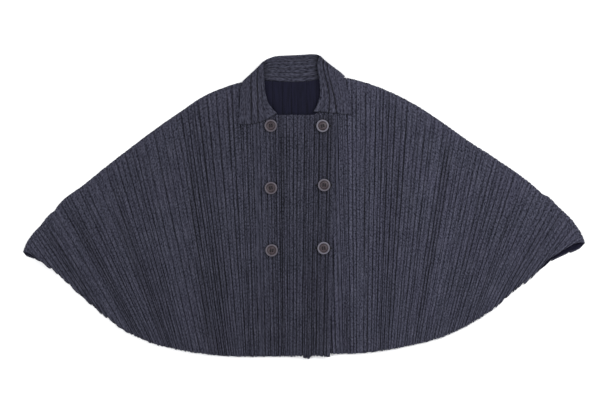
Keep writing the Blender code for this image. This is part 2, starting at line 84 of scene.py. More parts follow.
# Sleeve mouths: the front lip arches up between the two ends of the mouth
Mouth = namedtuple("Mouth", "inner_x inner_y tip_x tip_y arch reach")
MOUTHS = (
    Mouth(inner_x=480.0, inner_y=-118.0, tip_x=560.0, tip_y=-74.0, arch=9.0, reach=44.0),
    Mouth(inner_x=-494.0, inner_y=-133.0, tip_x=-562.0, tip_y=-94.0, arch=8.5, reach=42.0),
)
CUFF_START = 484.0              # the sleeve mouths lie further than this from the middle
CUFF_TURNED_IN = 7.5            # hem of a cuff that is turned to the inside
UNDER_SHADE = 0.6               # how much of the painted shade shows on the underside
UNDER_DARKEST = 0.3

# Where the pressed seams of shoulders and underarms fade in or out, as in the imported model
LEFT_SHOULDER_START = (-98.0, -112.0)
RIGHT_SHOULDER_START = (63.0, 77.0)
SHOULDER_END = (536.0, 556.0)
UNDERARM_START = (386.0, 400.0)
UNDERARM_END = (478.0, 488.0)

# Cut edges of the panels, from left to right, each point as x and y. They are those of the packed
# model but for the left shoulder beside the collar, the right cuff's front lip and the hem corner
# of the front underneath.
LEFT_SHOULDER = (
    (-562, -94), (-559, -84.5), (-552, -69.5), (-542, -55.5), (-526, -38), (-512, -20),
    (-506, -14.5), (-499, -10), (-491, 1.5), (-479, 14.5), (-468, 23), (-444, 39.5), (-396, 78.5),
    (-348, 115.5), (-300, 151.5), (-252, 185), (-204, 217.5), (-180, 229), (-156, 238),
    (-130, 246.2), (-119, 247.5),
)
RIGHT_SHOULDER = (
    (76, 256.8), (84, 256), (132, 243.5), (180, 224.5), (228, 199), (276, 167.5), (324, 133),
    (372, 102), (420, 69.5), (450, 47.5), (468, 31.5), (478, 23), (486, 19.5), (494, 13),
    (504, 2.5), (514, -6.5), (527, -19), (538, -30.5), (546, -42), (553, -53.5), (559, -66),
    (562, -76),
)
BACK_NECKLINE = (
    (-102, 252.5), (-76, 250.5), (-48, 248.8), (-20, 248), (12, 250), (38, 255.3), (60, 259.5),
)
RIGHT_FRONT_NECKLINE = (
    (-103, 252.3), (-100.5, 236), (-95.5, 217), (-88, 201), (-78, 190), (-66, 182.5), (-60, 182),
    (63, 182),
)
LEFT_FRONT_NECKLINE = (
    (-26, 176), (12, 177.5), (24, 184.5), (33.5, 191.5), (45.5, 203), (56, 217), (62.5, 235),
    (64, 258.5),
)
BACK_LEFT_CUFF = ((-562, -94), (-557, -99), (-540, -105.5), (-516, -118.5))
FRONT_LEFT_CUFF = ((-562, -94), (-556, -93), (-546, -96.5), (-532, -106), (-516, -117.5))
LEFT_HEM = (
    (-492, -136), (-444, -180.5), (-396, -221.5), (-348, -254), (-300, -275), (-252, -287),
    (-204, -294.5), (-156, -300),
)
RIGHT_HEM = (
    (84, -295), (132, -292), (180, -285), (228, -275), (276, -261.5), (324, -239.5),
    (372, -209.5), (420, -169.5), (468, -131),
)
BACK_RIGHT_CUFF = ((492, -112.5), (524, -97), (550, -86), (560, -79), (562, -76))
FRONT_RIGHT_CUFF = (
    (479, -115), (486, -108), (496, -101), (509, -93), (520, -86.5), (531, -80), (540, -75.5),
    (550, -73), (557, -73.5), (562, -76),
)
RIGHT_FRONT_CENTRE_HEM = ((-84, -301), (30, -299.8), (46, -301.5), (56, -301.5))
LEFT_FRONT_CENTRE_HEM = (
    (-3, -302.5), (3, -304.5), (9, -304.5), (15, -300), (24, -296.5), (50, -295),
)
BACK_CENTRE_HEM = ((-84, -298.5), (0, -297), (50, -294.5))

# Pleats run in straight lines from the shoulder or neck down to the hem: x at either end
LEFT_SLEEVE_LINES = (
    (-561.5, -555), (-559, -536), (-552, -512), (-542, -482), (-530, -424), (-504, -368),
    (-478, -328), (-440, -296), (-402, -272), (-358, -248), (-322, -222), (-284, -194),
    (-218, -152), (-164, -124), (-128, -108),
)
RIGHT_SLEEVE_LINES = (
    (114, 112), (148, 136), (174, 154), (208, 173), (238, 190), (288, 220), (318, 243),
    (348, 266), (392, 296), (426, 324), (476, 362), (508, 398), (540, 464), (551, 500),
    (558, 528), (561.5, 552),
)
BACK_LINES = ((-60, -52), (20, 20))
LEFT_FRONT_LINES = ((UNDER_EDGE_TOP_X, UNDER_EDGE_HEM_X), (66, 80))
RIGHT_FRONT_LINES = ((-60, -52), (0, -5), (63, 52))

# Soft troughs and ridges along the pleats: where each starts and ends, how far it sinks as a
# part of the pleat's depth, and how much painted shade lies in it. A ridge has minus signs, and
# its shade is painted light.
Crease = namedtuple("Crease", "top_x hem_x half_width start end sink shade")


def creases(*rows):
    """The creases of a panel, one for each row."""
    return [Crease(*row) for row in rows]


RIGHT_FRONT_CREASES = creases(
    (-526, -415, 15, 0.10, 1.00, 0.22, 0.16), (-478, -326, 11, 0.15, 0.95, 0.26, 0.20),
    (-402, -276, 8, 0.25, 1.00, 0.40, 0.34), (-368, -258, 26, 0.55, 1.05, 0.18, 0.20),
    (-322, -240, 12, 0.45, 0.95, -0.10, -0.14), (-236, -186, 7, 0.18, 0.95, 0.34, 0.26),
    (-196, -172, 34, 0.62, 1.10, 0.16, 0.20), (-128, -112, 12, 0.20, 0.70, -0.10, -0.14),
    (-84, -72, 24, 0.70, 1.10, 0.14, 0.16), (-42, -44, 5, 0.05, 1.00, 0.22, 0.16),
    (14, 14, 9, 0.55, 1.10, 0.18, 0.20), (44, 36, 13, -0.10, 1.10, 0.12, 0.34),
    (50, 50, 18, -0.12, 0.06, 0.06, 0.26),
)
LEFT_FRONT_CREASES = creases(
    (84, 84, 15, 0.05, 0.80, -0.10, -0.18), (118, 124, 5, 0.08, 1.00, 0.34, 0.24),
    (205, 164, 9, 0.25, 0.90, 0.20, 0.14), (262, 210, 14, 0.12, 0.42, -0.08, -0.12),
    (296, 222, 10, 0.12, 0.95, 0.28, 0.22), (322, 248, 14, 0.35, 0.85, -0.10, -0.14),
    (372, 284, 6, 0.15, 0.85, 0.24, 0.14), (440, 336, 10, 0.25, 0.95, 0.16, 0.10),
    (500, 390, 7, 0.20, 0.90, 0.20, 0.12),
)
BACK_CREASES = creases(
    (-470, -322, 12, 0.15, 0.90, 0.24, 0.14), (-300, -205, 9, 0.25, 0.95, 0.30, 0.18),
    (-150, -120, 14, 0.40, 1.00, -0.10, -0.08), (-10, -8, 10, 0.30, 0.90, 0.26, 0.16),
    (180, 158, 12, 0.35, 0.95, 0.24, 0.14), (330, 252, 9, 0.20, 0.90, 0.28, 0.18),
    (470, 358, 14, 0.15, 0.80, -0.10, -0.08),
)

# The panels: which tone of the cloth they get, the left front's being lighter as painted light,
# their pleat lines, edges and creases, the seed of their uneven pleats, and how many mesh rows of
# the upper side the underside has one for
PanelCut = namedtuple("PanelCut", "piece tone lines top hem creases seed skip")
BACK = PanelCut(
    "back_cloth", "right", LEFT_SLEEVE_LINES + BACK_LINES + RIGHT_SLEEVE_LINES,
    LEFT_SHOULDER + BACK_NECKLINE + RIGHT_SHOULDER,
    BACK_LEFT_CUFF + LEFT_HEM + BACK_CENTRE_HEM + RIGHT_HEM + BACK_RIGHT_CUFF,
    BACK_CREASES, 11, 4)
LEFT_FRONT = PanelCut(
    "front_left_cloth", "left", LEFT_FRONT_LINES + RIGHT_SLEEVE_LINES,
    LEFT_FRONT_NECKLINE + RIGHT_SHOULDER, LEFT_FRONT_CENTRE_HEM + RIGHT_HEM + FRONT_RIGHT_CUFF,
    LEFT_FRONT_CREASES, 23, 3)
RIGHT_FRONT = PanelCut(
    "front_right_cloth", "right", LEFT_SLEEVE_LINES + RIGHT_FRONT_LINES,
    LEFT_SHOULDER + RIGHT_FRONT_NECKLINE, FRONT_LEFT_CUFF + LEFT_HEM + RIGHT_FRONT_CENTRE_HEM,
    RIGHT_FRONT_CREASES, 37, 3)

# The collar, station by station: x and y of its neck seam, its roll and the leaf's edge, and 1
# where the leaf lies on a front or 0 behind the neck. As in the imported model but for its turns.
COLLAR_STATIONS = (
    (-64, 184.0, -54, 184.5, -130, 163, 1.0), (-76.5, 192, -62, 192.5, -130, 178, 1.0),
    (-86.5, 203, -71.5, 204, -129, 194, 1.0), (-93.5, 218, -77, 222, -128, 210, 1.0),
    (-98.5, 236, -79.3, 241, -126.5, 226, 1.0), (-101, 248, -80.5, 264, -126, 238.5, 1.0),
    (-100, 255.5, -81.6, 288.0, -121, 246.8, 1.0), (-100, 255.5, -81.6, 288.0, -121, 246.8, 0.0),
    (-92, 253.5, -73.5, 293.6, -113, 242, 0.0), (-76, 252, -57, 299.3, -86, 239.5, 0.0),
    (-48, 249.6, -32, 300.5, -50, 238, 0.0), (-20, 248.6, -8, 301.5, -18, 238, 0.0),
    (12, 250.7, 12, 303, 16, 240, 0.0), (40, 257.0, 26, 302.5, 50, 246, 0.0),
    (57.5, 262, 31.7, 299.6, 79.2, 256.2, 0.0), (57.5, 262, 31.7, 299.6, 79.2, 256.2, 1.0),
    (58.7, 258.5, 28, 289.5, 82, 253.5, 1.0), (59.5, 252, 27, 276.5, 84, 246, 1.0),
    (57.5, 238, 31, 255.5, 86, 236, 1.0), (52, 220, 33, 235, 89, 222, 1.0),
    (43, 206, 32.5, 218, 91.5, 208, 1.0), (32.5, 195, 27, 202, 93.5, 195, 1.0),
    (24, 188.5, 19.5, 188.5, 95, 182, 1.0),
)
LEFT_TURN = (6, 7)              # stations between which the collar folds under the neck
RIGHT_TURN = (14, 15)
COLLAR_WALL = 1.35
STATION_STEPS, TURN_STEPS = 10, 16              # mesh rows from one station to the next
STAND_POINTS, ROLL_POINTS, LEAF_POINTS = 40, 9, 56      # mesh points from neck seam to edge
COLLAR_SMOOTHING = 10
COLLAR_MIDDLE_X = -20.0
STAND_BACK_MID = NECK_LIFT + 1.0
STAND_FRONT_MID = NECK_LIFT + FRONT_UNDER + 1.8
LEAF_BACK_MID = 0.8
LEAF_FRONT_MID = NECK_LIFT + FRONT_TOP + LAYER_GAP + 0.8
# Where the stand lies in the shade of a leaf's fold: middle, half width and how dark
StandShade = namedtuple("StandShade", "x half_width shade")
STAND_SHADES = (StandShade(-81, 8, 0.35), StandShade(30, 9, 0.68))
LEFT_LEAF_DROP = 8.0            # how far the middle of the left leaf's front end hangs down
LEFT_LEAF_FADE = 3.0            # stations over which that ends
# How far the folds at the neck's two sides stand out, at these parts of the way down the leaf
BULGE_PLACES = (0.0, 0.15, 0.28, 0.80, 1.0)
LEFT_BULGE = (0.3, 0.0, 0.2, 2.4, 3.0)
RIGHT_BULGE = (0.7, 0.1, 0.3, 4.2, 4.2)
ROLL_RADIUS = 0.9               # the least at the fold between stand and leaf
LIFT_TURN = (0.9, 1.0)          # the cloth below lifts the collar where it is turned this far
NECK_SIDES_X = (-80.0, 40.0)
SIDE_LIGHT = (0.94, 1.08)       # painted light: the left leaf is painted a little darker than the right one
COLLAR_PAINTED_LIGHT = (0.05, 0.90)       # painted light: how light a groove is painted, and how much more a rib
END_LIGHT = 0.3                 # part of that at the collar's two ends, a painted shade
COLLAR_DRAWN = 0.5              # the collar's fibres are drawn out by one over this
COLLAR_EDGE = 0.45              # part of the wall left at an edge
COLLAR_RIB = 0.8                # height of a rib over a groove
GROOVE_SIDES = (0.8, 2.9)       # distances from a groove's middle where a rib begins and is full
# Pleat grooves of the collar: how far down the stand or leaf each lies at the front end, the
# middle and the turn of the left leaf and then of the right one, and how deep it is
CollarGroove = namedtuple("CollarGroove", "places depth")
STAND_GROOVES = (
    CollarGroove((0.17,) * 6, 0.45), CollarGroove((0.33,) * 6, 0.35),
    CollarGroove((0.50,) * 6, 0.55), CollarGroove((0.66,) * 6, 0.40),
    CollarGroove((0.80,) * 6, 0.45), CollarGroove((0.92,) * 6, 0.30),
)
LEAF_GROOVES = (
    CollarGroove((0.50, 0.28, 0.26, 0.13, 0.25, 0.38), 1.0),
    CollarGroove((0.66, 0.54, 0.56, 0.29, 0.40, 0.60), 1.0),
    CollarGroove((0.30, 0.12, 0.09, 0.04, 0.10, 0.18), 0.35),
    CollarGroove((0.83, 0.78, 0.82, 0.54, 0.67, 0.80), 0.3),
)

# How buttons are made. Their section goes from the middle of the face to that of the back, as
# parts of the radius and of the thickness: a flat middle, a groove and a raised rim.
BUTTON_SECTION = (
    (0.0, 0.62), (0.30, 0.62), (0.52, 0.62), (0.57, 0.57), (0.62, 0.50), (0.66, 0.56),
    (0.70, 0.78), (0.74, 0.93), (0.79, 0.99), (0.86, 1.0), (0.93, 0.96), (0.975, 0.88),
    (0.995, 0.76), (1.0, 0.62), (0.995, 0.46), (0.975, 0.32), (0.93, 0.18), (0.86, 0.07),
    (0.78, 0.0), (0.45, 0.0), (0.0, 0.0),
)
BUTTON_STEPS, HOLE_STEPS = 72, 20
DRILL_ENDS = (9.0, -4.0)        # heights of a drill's ends, clear of the button
BUTTON_FOOT = 0.8               # part of the radius that rests on the cloth
BUTTON_FACE = 0.60              # height of the threads' bed, as a part of the thickness
SHARP_ANGLE = 40.0              # degrees at which an edge is shaded sharp
THREAD_STRANDS = (-0.55, 0.0, 0.55)     # how the strands lie side by side
THREAD_LIFT = 0.25              # height of their middle over the bed
THREAD_PAST = 0.5               # how far a strand runs past the middle of its hole
THREAD_DIP = 0.2                # and how much lower it turns down to the cloth
THREAD_FOOT = 1.2               # how far from the middle the threads go into the cloth
THREAD_SUNK = 0.6
HIGHLIGHT_RIM = (0.70, 0.84)       # parts of the radius between which the rim's painted highlight begins
# Painted shade in the groove and round the holes: place and half width in radii, and how dark
RECESS_SHADE = ((0.62, 0.06, 0.7), (0.0, 0.34, 0.6))
BUTTON_SHADE = (11.5, 17.0, 0.38)   # painted shade round a button, fading between the two radii, and how dark

# Buttons: centre, lean on the thread, turn of the holes, how strong the painted highlight on
# the rim is, and the height of the cloth below
LAP_TOP = FRONT_TOP + LAP_LIFT
Button = namedtuple("Button", "node x y lean_x lean_y spin rub base")
BUTTONS = (
    Button("button_right_top", -66.4, 160.6, 7.0, 2.0, 4.0, 0.37, FRONT_TOP),
    Button("button_right_middle", -66.0, 36.0, 4.0, -3.0, 12.0, 0.34, FRONT_TOP),
    Button("button_right_low", -64.6, -88.4, 6.0, 1.0, -8.0, 0.42, FRONT_TOP),
    Button("button_left_top", 36.8, 159.8, -2.0, 6.0, 18.0, 0.82, LAP_TOP),
    Button("button_left_middle", 40.0, 41.8, 2.0, 7.0, -4.0, 0.50, LAP_TOP),
    Button("button_left_low", 39.0, -84.0, 3.0, 5.0, 9.0, 0.78, LAP_TOP),
)

# Sewing: radii of the threads, the rings of a stitch as a share of its length, its fatness and
# how far it is sunk, in radii, and how stitches follow an edge
EDGE_THREAD, HOLE_THREAD, BUTTON_THREAD = 0.28, 0.3, 0.42
STITCH_RINGS = ((0.0, 0.45, -0.7), (0.22, 1.0, 0.0), (0.78, 1.0, 0.0), (1.0, 0.45, -0.7))
STITCH_SIDES = 6
STITCH_STEP, STITCH_GAP, STITCH_LIFT = 3.4, 0.9, 0.12
LAP_INSET, HEM_INSET, HEM_SIDE = 5.0, 4.5, 3.0
LAP_SEAM = (0.012, 0.992)       # parts of the lap edge's length between which it is stitched
SEAM_POINTS, HEM_POINTS = 700, 3000     # points of the paths that the stitches follow
# A buttonhole: how far it is longer than the button at each end, its height over the cloth and
# the distance between its stitches, then the reach, slant and fall of a stitch, and then the
# number, half length, start and distance of the threads in the bar at each end
HOLE_EXTRA, HOLE_LIFT, HOLE_STEP = 1.8, 0.25, 0.8
HOLE_LIPS, HOLE_SLANT, HOLE_FALL = (0.5, 2.1), 0.15, 0.05
BAR_THREADS, BAR_HALF, BAR_START, BAR_STEP = 4, 2.3, 0.4, 0.5

# The tones of one cloth: how light it is, the share of warmer patches, and how strong the heather
Tweed = namedtuple("Tweed", "name lightness lilac_share contrast")
TWEEDS = {
    "right": Tweed("pleated_tweed", 0.74, 0.08, 0.42),
    # the left front, on the side of the key lamp, has a lighter copy of the cloth: painted light
    "left": Tweed("pleated_tweed_lighter", 0.91, 0.12, 0.44),
    "collar": Tweed("pleated_tweed_pressed", 0.75, 0.10, 0.4),
}
# Sizes of marks in the materials, where two are given across and along the pleats
HEATHER_GRAIN = (2.5, 3.6)      # real fibres are 0.3 mm by 1.5 mm, drawn coarser to show
SLUBS = (3.1, 40.0)             # real thick places in the yarn are 1 mm by 20 mm, drawn coarser
REVERSE_STREAKS = (3.0, 40.0)   # the same on the inside
LILAC_PATCHES = 75.0
YARN_SPACING = 1.6              # real threads are 0.5 mm apart, drawn coarser to show
PLY_LENGTH = 0.5                # twist of the sewing thread
SWIRL = 9.0
TUMBLE_MARKS = 0.8              # real ones are 0.2 mm wide, drawn coarser to show
ROLLER_STIPPLE = 33.3           # a real roller leaves marks of 3 mm, drawn coarser here
WAVE_LENGTH = 0.314             # metres from wave to wave in a wave texture of scale 1


def from_hex(code):
    """Turn an sRGB hex colour into linear light."""
    channels = [int(code[i:i + 2], 16) / 255 for i in (0, 2, 4)]
    linear = [c / 12.92 if c <= 0.04045 else ((c + 0.055) / 1.055) ** 2.4 for c in channels]
    return (*linear, 1.0)


def colour_property(name, description, code):
    """A colour that a user can change."""
    return bpy.props.FloatVectorProperty(
        name=name, description=description, default=from_hex(code), size=4,
        subtype="COLOR", min=0.0, max=1.0)


def length_property(name, description, millimetres):
    """A length that a user can change."""
    return bpy.props.FloatProperty(
        name=name, description=description, default=millimetres * MM,
        subtype="DISTANCE", unit="LENGTH", min=0.0, precision=5)


class ClothSettings(bpy.types.PropertyGroup):
    """Sizes and colours of the pleated cloth."""

    wall: length_property("Cloth", "Thickness of the cloth", 1.2)
    front_depth: length_property("Front pleats", "Height of a front's ribs over its grooves", 2.65)
    back_depth: length_property("Back pleats", "Height of the back's ribs over its grooves", 1.3)
    front_pitch: length_property("Front pitch", "Mean distance between pleats of a front", 11.9)
    back_pitch: length_property("Back pitch", "Mean distance between pleats of the back", 13.2)
    groove: length_property("Groove", "Mean half width of a groove", 1.3)
    scallop: length_property("Scallop", "How far ribs reach past grooves at an edge", 2.6)
    row: length_property("Row", "Distance between mesh rows along a pleat", 7.6)
    dark_yarn: colour_property("Dark yarn", "Darkest fibre of the heathered yarn", "0e0e1a")
    middle_yarn: colour_property("Middle yarn", "Most of the heathered yarn", "444553")
    light_yarn: colour_property("Light yarn", "Lightest fibre of the heathered yarn", "595865")
    lilac: colour_property("Lilac cast", "Broad warmer patches", "3a3549")
    reverse: colour_property("Reverse", "Inside of the cloth", "0d0d1c")
    thread: colour_property("Thread", "Sewing thread", "0e0e14")


class ButtonSettings(bpy.types.PropertyGroup):
    """Sizes and colours of the buttons."""

    diameter: length_property("Diameter", "Across a button", 25.0)
    thick: length_property("Thickness", "From back to rim", 3.5)
    hole: length_property("Hole", "Across a hole", 2.4)
    hole_ring: length_property("Hole ring", "From the middle to a hole", 3.2)
    ground: colour_property("Ground", "Main colour", "40373c")
    swirl: colour_property("Swirl", "Darker streaks", "2b2327")
    # The rim's colour is a painted highlight
    rim: colour_property("Rim", "Rubbed rim", "605f69")
    # Painted shade in the groove and round the holes
    grime: colour_property("Grime", "In the groove and round the holes", "0d0a0a")


class StudioSettings(bpy.types.PropertyGroup):
    """The floor, lights and camera."""

    floor: colour_property("Floor", "Pale floor", "f4f4f4")
    sky: colour_property("Sky", "Soft light from all round", "f7f8fb")
    sky_strength: bpy.props.FloatProperty(
        name="Sky strength", description="Soft light from all round", default=0.80, min=0.0)
    key_power: bpy.props.FloatProperty(
        name="Key power", description="Large lamp at the upper right", default=50.0,
        subtype="POWER", unit="POWER", min=0.0)
    fill_power: bpy.props.FloatProperty(
        name="Fill power", description="Large lamp at the left", default=33.0,
        subtype="POWER", unit="POWER", min=0.0)
    lens: bpy.props.FloatProperty(
        name="Lens", description="Focal length in millimetres", default=200.0, min=10.0)
    view_width: length_property("View width", "Width of the floor in the picture", 1200.0)


def ramp(value, start, end):
    """Rise evenly from 0 at start to 1 at end."""
    return np.clip((value - start) / (end - start), 0.0, 1.0)


def soft_step(value, start, end):
    """Rise from 0 to 1 with no corner at either end."""
    share = ramp(value, start, end)
    return share * share * (3.0 - 2.0 * share)


def edge_curve(points, x):
    """Height of a cut edge above x, on a smooth curve through its points."""
    known = np.array(points, float)
    width = np.diff(known[:, 0])
    steps = np.diff(known[:, 1]) / width
    same_way = steps[:-1] * steps[1:] > 0.0
    total = np.where(same_way, steps[:-1] + steps[1:], 1.0)
    middle = np.where(same_way, 2.0 * steps[:-1] * steps[1:] / total, 0.0)
    slopes = np.concatenate([steps[:1], middle, steps[-1:]])
    x = np.clip(x, known[0, 0], known[-1, 0])
    i = np.clip(np.searchsorted(known[:, 0], x, side="right") - 1, 0, len(width) - 1)
    t = (x - known[i, 0]) / width[i]
    start = (1 + 2 * t) * (1 - t) ** 2 * known[i, 1] + t * (1 - t) ** 2 * width[i] * slopes[i]
    end = t * t * (3 - 2 * t) * known[i + 1, 1] + t * t * (t - 1) * width[i] * slopes[i + 1]
    return start + end


def neck_lift(x, y):
    """How much the folded collar under the neck lifts the cloth there."""
    outer_left, inner_left, inner_right, outer_right = NECK_LIFT_X
    across = np.minimum(ramp(x, outer_left, inner_left), 1.0 - ramp(x, inner_right, outer_right))
    return NECK_LIFT * across * ramp(y, *NECK_LIFT_Y)


def lap_lift(x, y):
    """How much the top front is lifted by the front that lies under it."""
    share = (LAP_TOP_Y - y) / (LAP_TOP_Y - LAP_HEM_Y)
    edge_x = UNDER_EDGE_TOP_X + (UNDER_EDGE_HEM_X - UNDER_EDGE_TOP_X) * share
    return LAP_LIFT * soft_step(x, edge_x - LAP_STEP_START, edge_x - LAP_STEP_END)


def mouth_lift(x, y):
    """How much a front arches up over a sleeve mouth."""
    lift = 0.0
    for mouth in MOUTHS:
        chord = np.array([mouth.tip_x - mouth.inner_x, mouth.tip_y - mouth.inner_y])
        length = np.hypot(*chord)
        from_x, from_y = x - mouth.inner_x, y - mouth.inner_y
        along = (from_x * chord[0] + from_y * chord[1]) / length ** 2
        away = np.abs(from_x * chord[1] - from_y * chord[0]) / length
        arch = np.sin(np.pi * np.clip(along, 0.0, 1.0)) * (1.0 - soft_step(away, 0.0, mouth.reach))
        lift = lift + mouth.arch * arch
    return lift


def button_shade(x, y):
    """How dark the painted shade round the buttons is."""
    start, end, dark = BUTTON_SHADE
    away = [np.hypot(x - button.x, y - button.y) for button in BUTTONS]
    return dark * (1.0 - soft_step(np.minimum.reduce(away), start, end))


def shoulder_press(x):
    """1 where the upper edge is sewn, fading to 0 at the neck and the sleeve's tip."""
    press = ramp(x, *LEFT_SHOULDER_START) + ramp(x, *RIGHT_SHOULDER_START)
    return press * (1.0 - ramp(np.abs(x), *SHOULDER_END))


def underarm_press(x):
    """1 where the lower edge is sewn between sleeve mouth and open hem, else 0."""
    return ramp(np.abs(x), *UNDERARM_START) * (1.0 - ramp(np.abs(x), *UNDERARM_END))


class PanelCloth:
    """A panel's sheet: where each point of it lies, and how it is folded."""

    # Mesh rows beside a cut edge, and mesh columns beside a side edge, beside a groove in its half
    # widths, and across a rib in its widths
    EDGE_ROWS = (0.0, 0.5, 1.1, 1.9, 3.0, 4.6, 7.0)
    SIDE_COLUMNS = (0.0, 0.5, 1.1, 2.0)
    GROOVE_COLUMNS = (0.0, 0.4, 0.8, 1.25)
    RIB_COLUMNS = (0.36, 0.64)
    CLOSEST_COLUMNS = 0.32
    LEAST_ROWS = 6
    SHORT_PLEAT = 60.0              # shorter pleats have the rows beside their ends closer
    # How uneven the pleats are: shares of the pitch, of a rib's width, of a pleat's depth and of
    # a groove's half width
    RIB_WIDTHS = (0.62, 0.82, 1.0, 1.2, 1.42)
    WIDTH_SPREAD = (0.92, 1.08)
    CREASED_RIB = 0.70              # ribs wider than this part of the pitch have a lesser crease
    LESSER_PLACE = (0.36, 0.64)
    MAIN_DEPTH = (0.65, 1.0)
    LESSER_DEPTH = (0.35, 0.8)
    HALF_SPREAD = (0.75, 1.25)
    TILT = (-0.05, 0.15)            # how much higher a rib's right side is than its middle
    RIB_DROP = (0.0, 0.12)          # how far a rib stays below the highest ones
    RIB_CROWN = 0.07                # how far its sides are below its middle
    # Slow waves that are added up, each by how much finer it is and its share, and then the amount
    # and the longest wavelength of what they vary
    WAVES = ((1.0, 0.55), (2.3, 0.3), (4.9, 0.2))
    DEPTH_WANDER = (0.09, 140.0)
    DROP_WANDER = (0.4, 160.0)
    SWAY = (0.6, 260.0)             # in millimetres, to either side
    SWAY_FROM_SIDE = (2.0, 30.0)    # it grows between these distances from a side edge
    SWAY_LENGTH = (60.0, 200.0)     # and with the length of the pleat
    # Grooves and the ribs beside them, with the painted shade in grooves and creases
    MOST_OF_RIB = 0.36              # the most of a rib that half a groove may take up
    LEAST_DEPTH = 0.25
    LEAST_RIB = 0.02                # a rib stays this far above the groove
    RIB_WALL = (0.15, 1.25)         # where a rib's side starts and ends, in half widths
    CREASE_FADE = 0.12              # part of a pleat's length over which a crease begins or ends
    CREASE_DARK = 0.8
    GROOVE_DARK = 1.02              # how dark the painted shade in a groove of the full depth is
    SLEEVE_LESS_DARK = 0.40         # it is that much less on the sleeves
    SLEEVE_X = (200.0, 420.0)       # where these begin, at the upper edge
    SEAM_OPEN = 0.5                 # part of that painted shade that is left at a shoulder seam
    SEAM_FADE = 60.0                # and how gradually the grooves open below it
    DARK_RANGE = (-0.35, 1.0)       # painted light: a ridge is painted lighter than plain cloth
    # Cut edges
    EDGE_LEVEL = 0.66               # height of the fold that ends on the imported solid's edge
    JUT = (-0.7, 0.7)               # how far a rib's end stands out, in millimetres
    SCALLOP_FROM_SIDE = 12.0        # there are no scallops beside a side edge
    # Under the arms the ribs end square: how far one side of a rib's end reaches past its middle
    TOOTH_X = (-540.0, -520.0, -400.0, -300.0, 300.0, 400.0, 478.0, 492.0)
    TOOTH = (0.0, -2.2, -2.2, 0.0, 0.0, 2.2, 2.2, 0.0)
    # Shoulders and neckline are sewn: how much of the scallop shows there, from left to right
    SEWN_X = (-300.0, 0.0, 300.0)
    SEWN_REACH = (0.3, 0.35, 0.55)
    BACK_RETREAT = 0.8              # how far the back's edge stays inside that of the fronts
    STEEPEST = 0.3                  # the least sine of the angle between a pleat and the hem
    ROUNDED_EDGE = (0.35, 1.1)      # part of the wall left at a cut edge, and where it is whole
    TURNED_EDGE = (0.22, 1.7, 0.9)  # the wall's extra part there, its place and half width
    TURNED_DOWN = 0.1               # the most of it that shows on the underside

    def __init__(self, cloth, cut):
        self.cloth, self.cut = cloth, cut
        self.is_back = cut is BACK
        self.wall = cloth.wall / MM
        self.depth = (cloth.back_depth if self.is_back else cloth.front_depth) / MM
        self.tops, self.hems = np.array(cut.lines, float).T
        self.reach = self.line_spacings()
        self.width = self.reach[-1]
        self.draw_pleats((cloth.back_pitch if self.is_back else cloth.front_pitch) / MM)
        self.creases = [self.crease_path(crease) for crease in cut.creases]

    def line_spacings(self):
        """How far each pleat line is from the first, measured half way down and across."""
        upper = np.stack([self.tops, edge_curve(self.cut.top, self.tops)], 1)
        lower = np.stack([self.hems, edge_curve(self.cut.hem, self.hems)], 1)
        steps = np.diff(upper + lower, axis=0) / 2
        along = (lower - upper)[:-1] + (lower - upper)[1:]
        along = along / np.linalg.norm(along, axis=1)[:, None]
        apart = np.abs(steps[:, 0] * along[:, 1] - steps[:, 1] * along[:, 0])
        return np.concatenate([[0.0], np.cumsum(apart)])

    def draw_pleats(self, pitch):
        """Draw uneven pleats, the wide ones of a front with a lesser crease."""
        draw = np.random.default_rng(self.cut.seed)
        count = round(self.width / pitch)
        widths = draw.choice(self.RIB_WIDTHS, count) * draw.uniform(*self.WIDTH_SPREAD, count)
        widths = widths * self.width / widths.sum()
        main = np.concatenate([[0.0], np.cumsum(widths)])
        wide = (widths > self.CREASED_RIB * pitch) & (not self.is_back)
        lesser = (main[:-1] + widths * draw.uniform(*self.LESSER_PLACE, count))[wide]
        depths = draw.uniform(*self.MAIN_DEPTH, count + 1)
        depths = np.concatenate([depths, draw.uniform(*self.LESSER_DEPTH, len(lesser))])
        grooves = np.concatenate([main, lesser])
        order = np.argsort(grooves)
        self.grooves, self.groove_depth = grooves[order], depths[order]
        count = len(grooves)
        self.groove_half = self.cloth.groove / MM * draw.uniform(*self.HALF_SPREAD, count)
        self.phases = draw.uniform(0.0, 2.0 * np.pi, (count, 3 * len(self.WAVES)))
        self.tilt = draw.uniform(*self.TILT, count)
        self.rib_drop = draw.uniform(*self.RIB_DROP, count)
        self.jut = draw.uniform(*self.JUT, count)

    def wander(self, which, along, wavelength, value):
        """An uneven value from about -1 to 1 that changes slowly along each pleat."""
        total = 0.0
        for i, (finer, share) in enumerate(self.WAVES, value * len(self.WAVES)):
            turn = 2.0 * np.pi * along * finer / wavelength
            total = total + share * np.cos(turn + self.phases[which, i])
        return total

    def crease_path(self, crease):
        """A crease with its distance across the panel at the upper edge and at the hem."""
        upper = np.interp(crease.top_x, self.tops, self.reach)
        lower = np.interp(crease.hem_x, self.hems, self.reach)
        return crease, upper, lower

    def columns(self):
        """Distances across the panel where the mesh has columns."""
        places = [place for step in self.SIDE_COLUMNS for place in (step, self.width - step)]
        for groove, half in zip(self.grooves[1:-1], self.groove_half[1:-1]):
            for step in self.GROOVE_COLUMNS:
                places += [groove - step * half, groove + step * half]
        for left, right in zip(self.grooves, self.grooves[1:]):
            places += [left + (right - left) * share for share in self.RIB_COLUMNS]
        places = np.sort(np.array(places))
        keep = np.concatenate([[True], np.diff(places) > self.CLOSEST_COLUMNS])
        keep[-1] = True
        return places[keep]

    def ends(self, across):
        """The two ends of the pleat line at each distance across."""
        top_x = np.interp(across, self.reach, self.tops)
        hem_x = np.interp(across, self.reach, self.hems)
        return top_x, edge_curve(self.cut.top, top_x), hem_x, edge_curve(self.cut.hem, hem_x)

    def lengths(self, across):
        """Length of the pleat line at each distance across."""
        top_x, top_y, hem_x, hem_y = self.ends(across)
        return np.hypot(hem_x - top_x, hem_y - top_y)

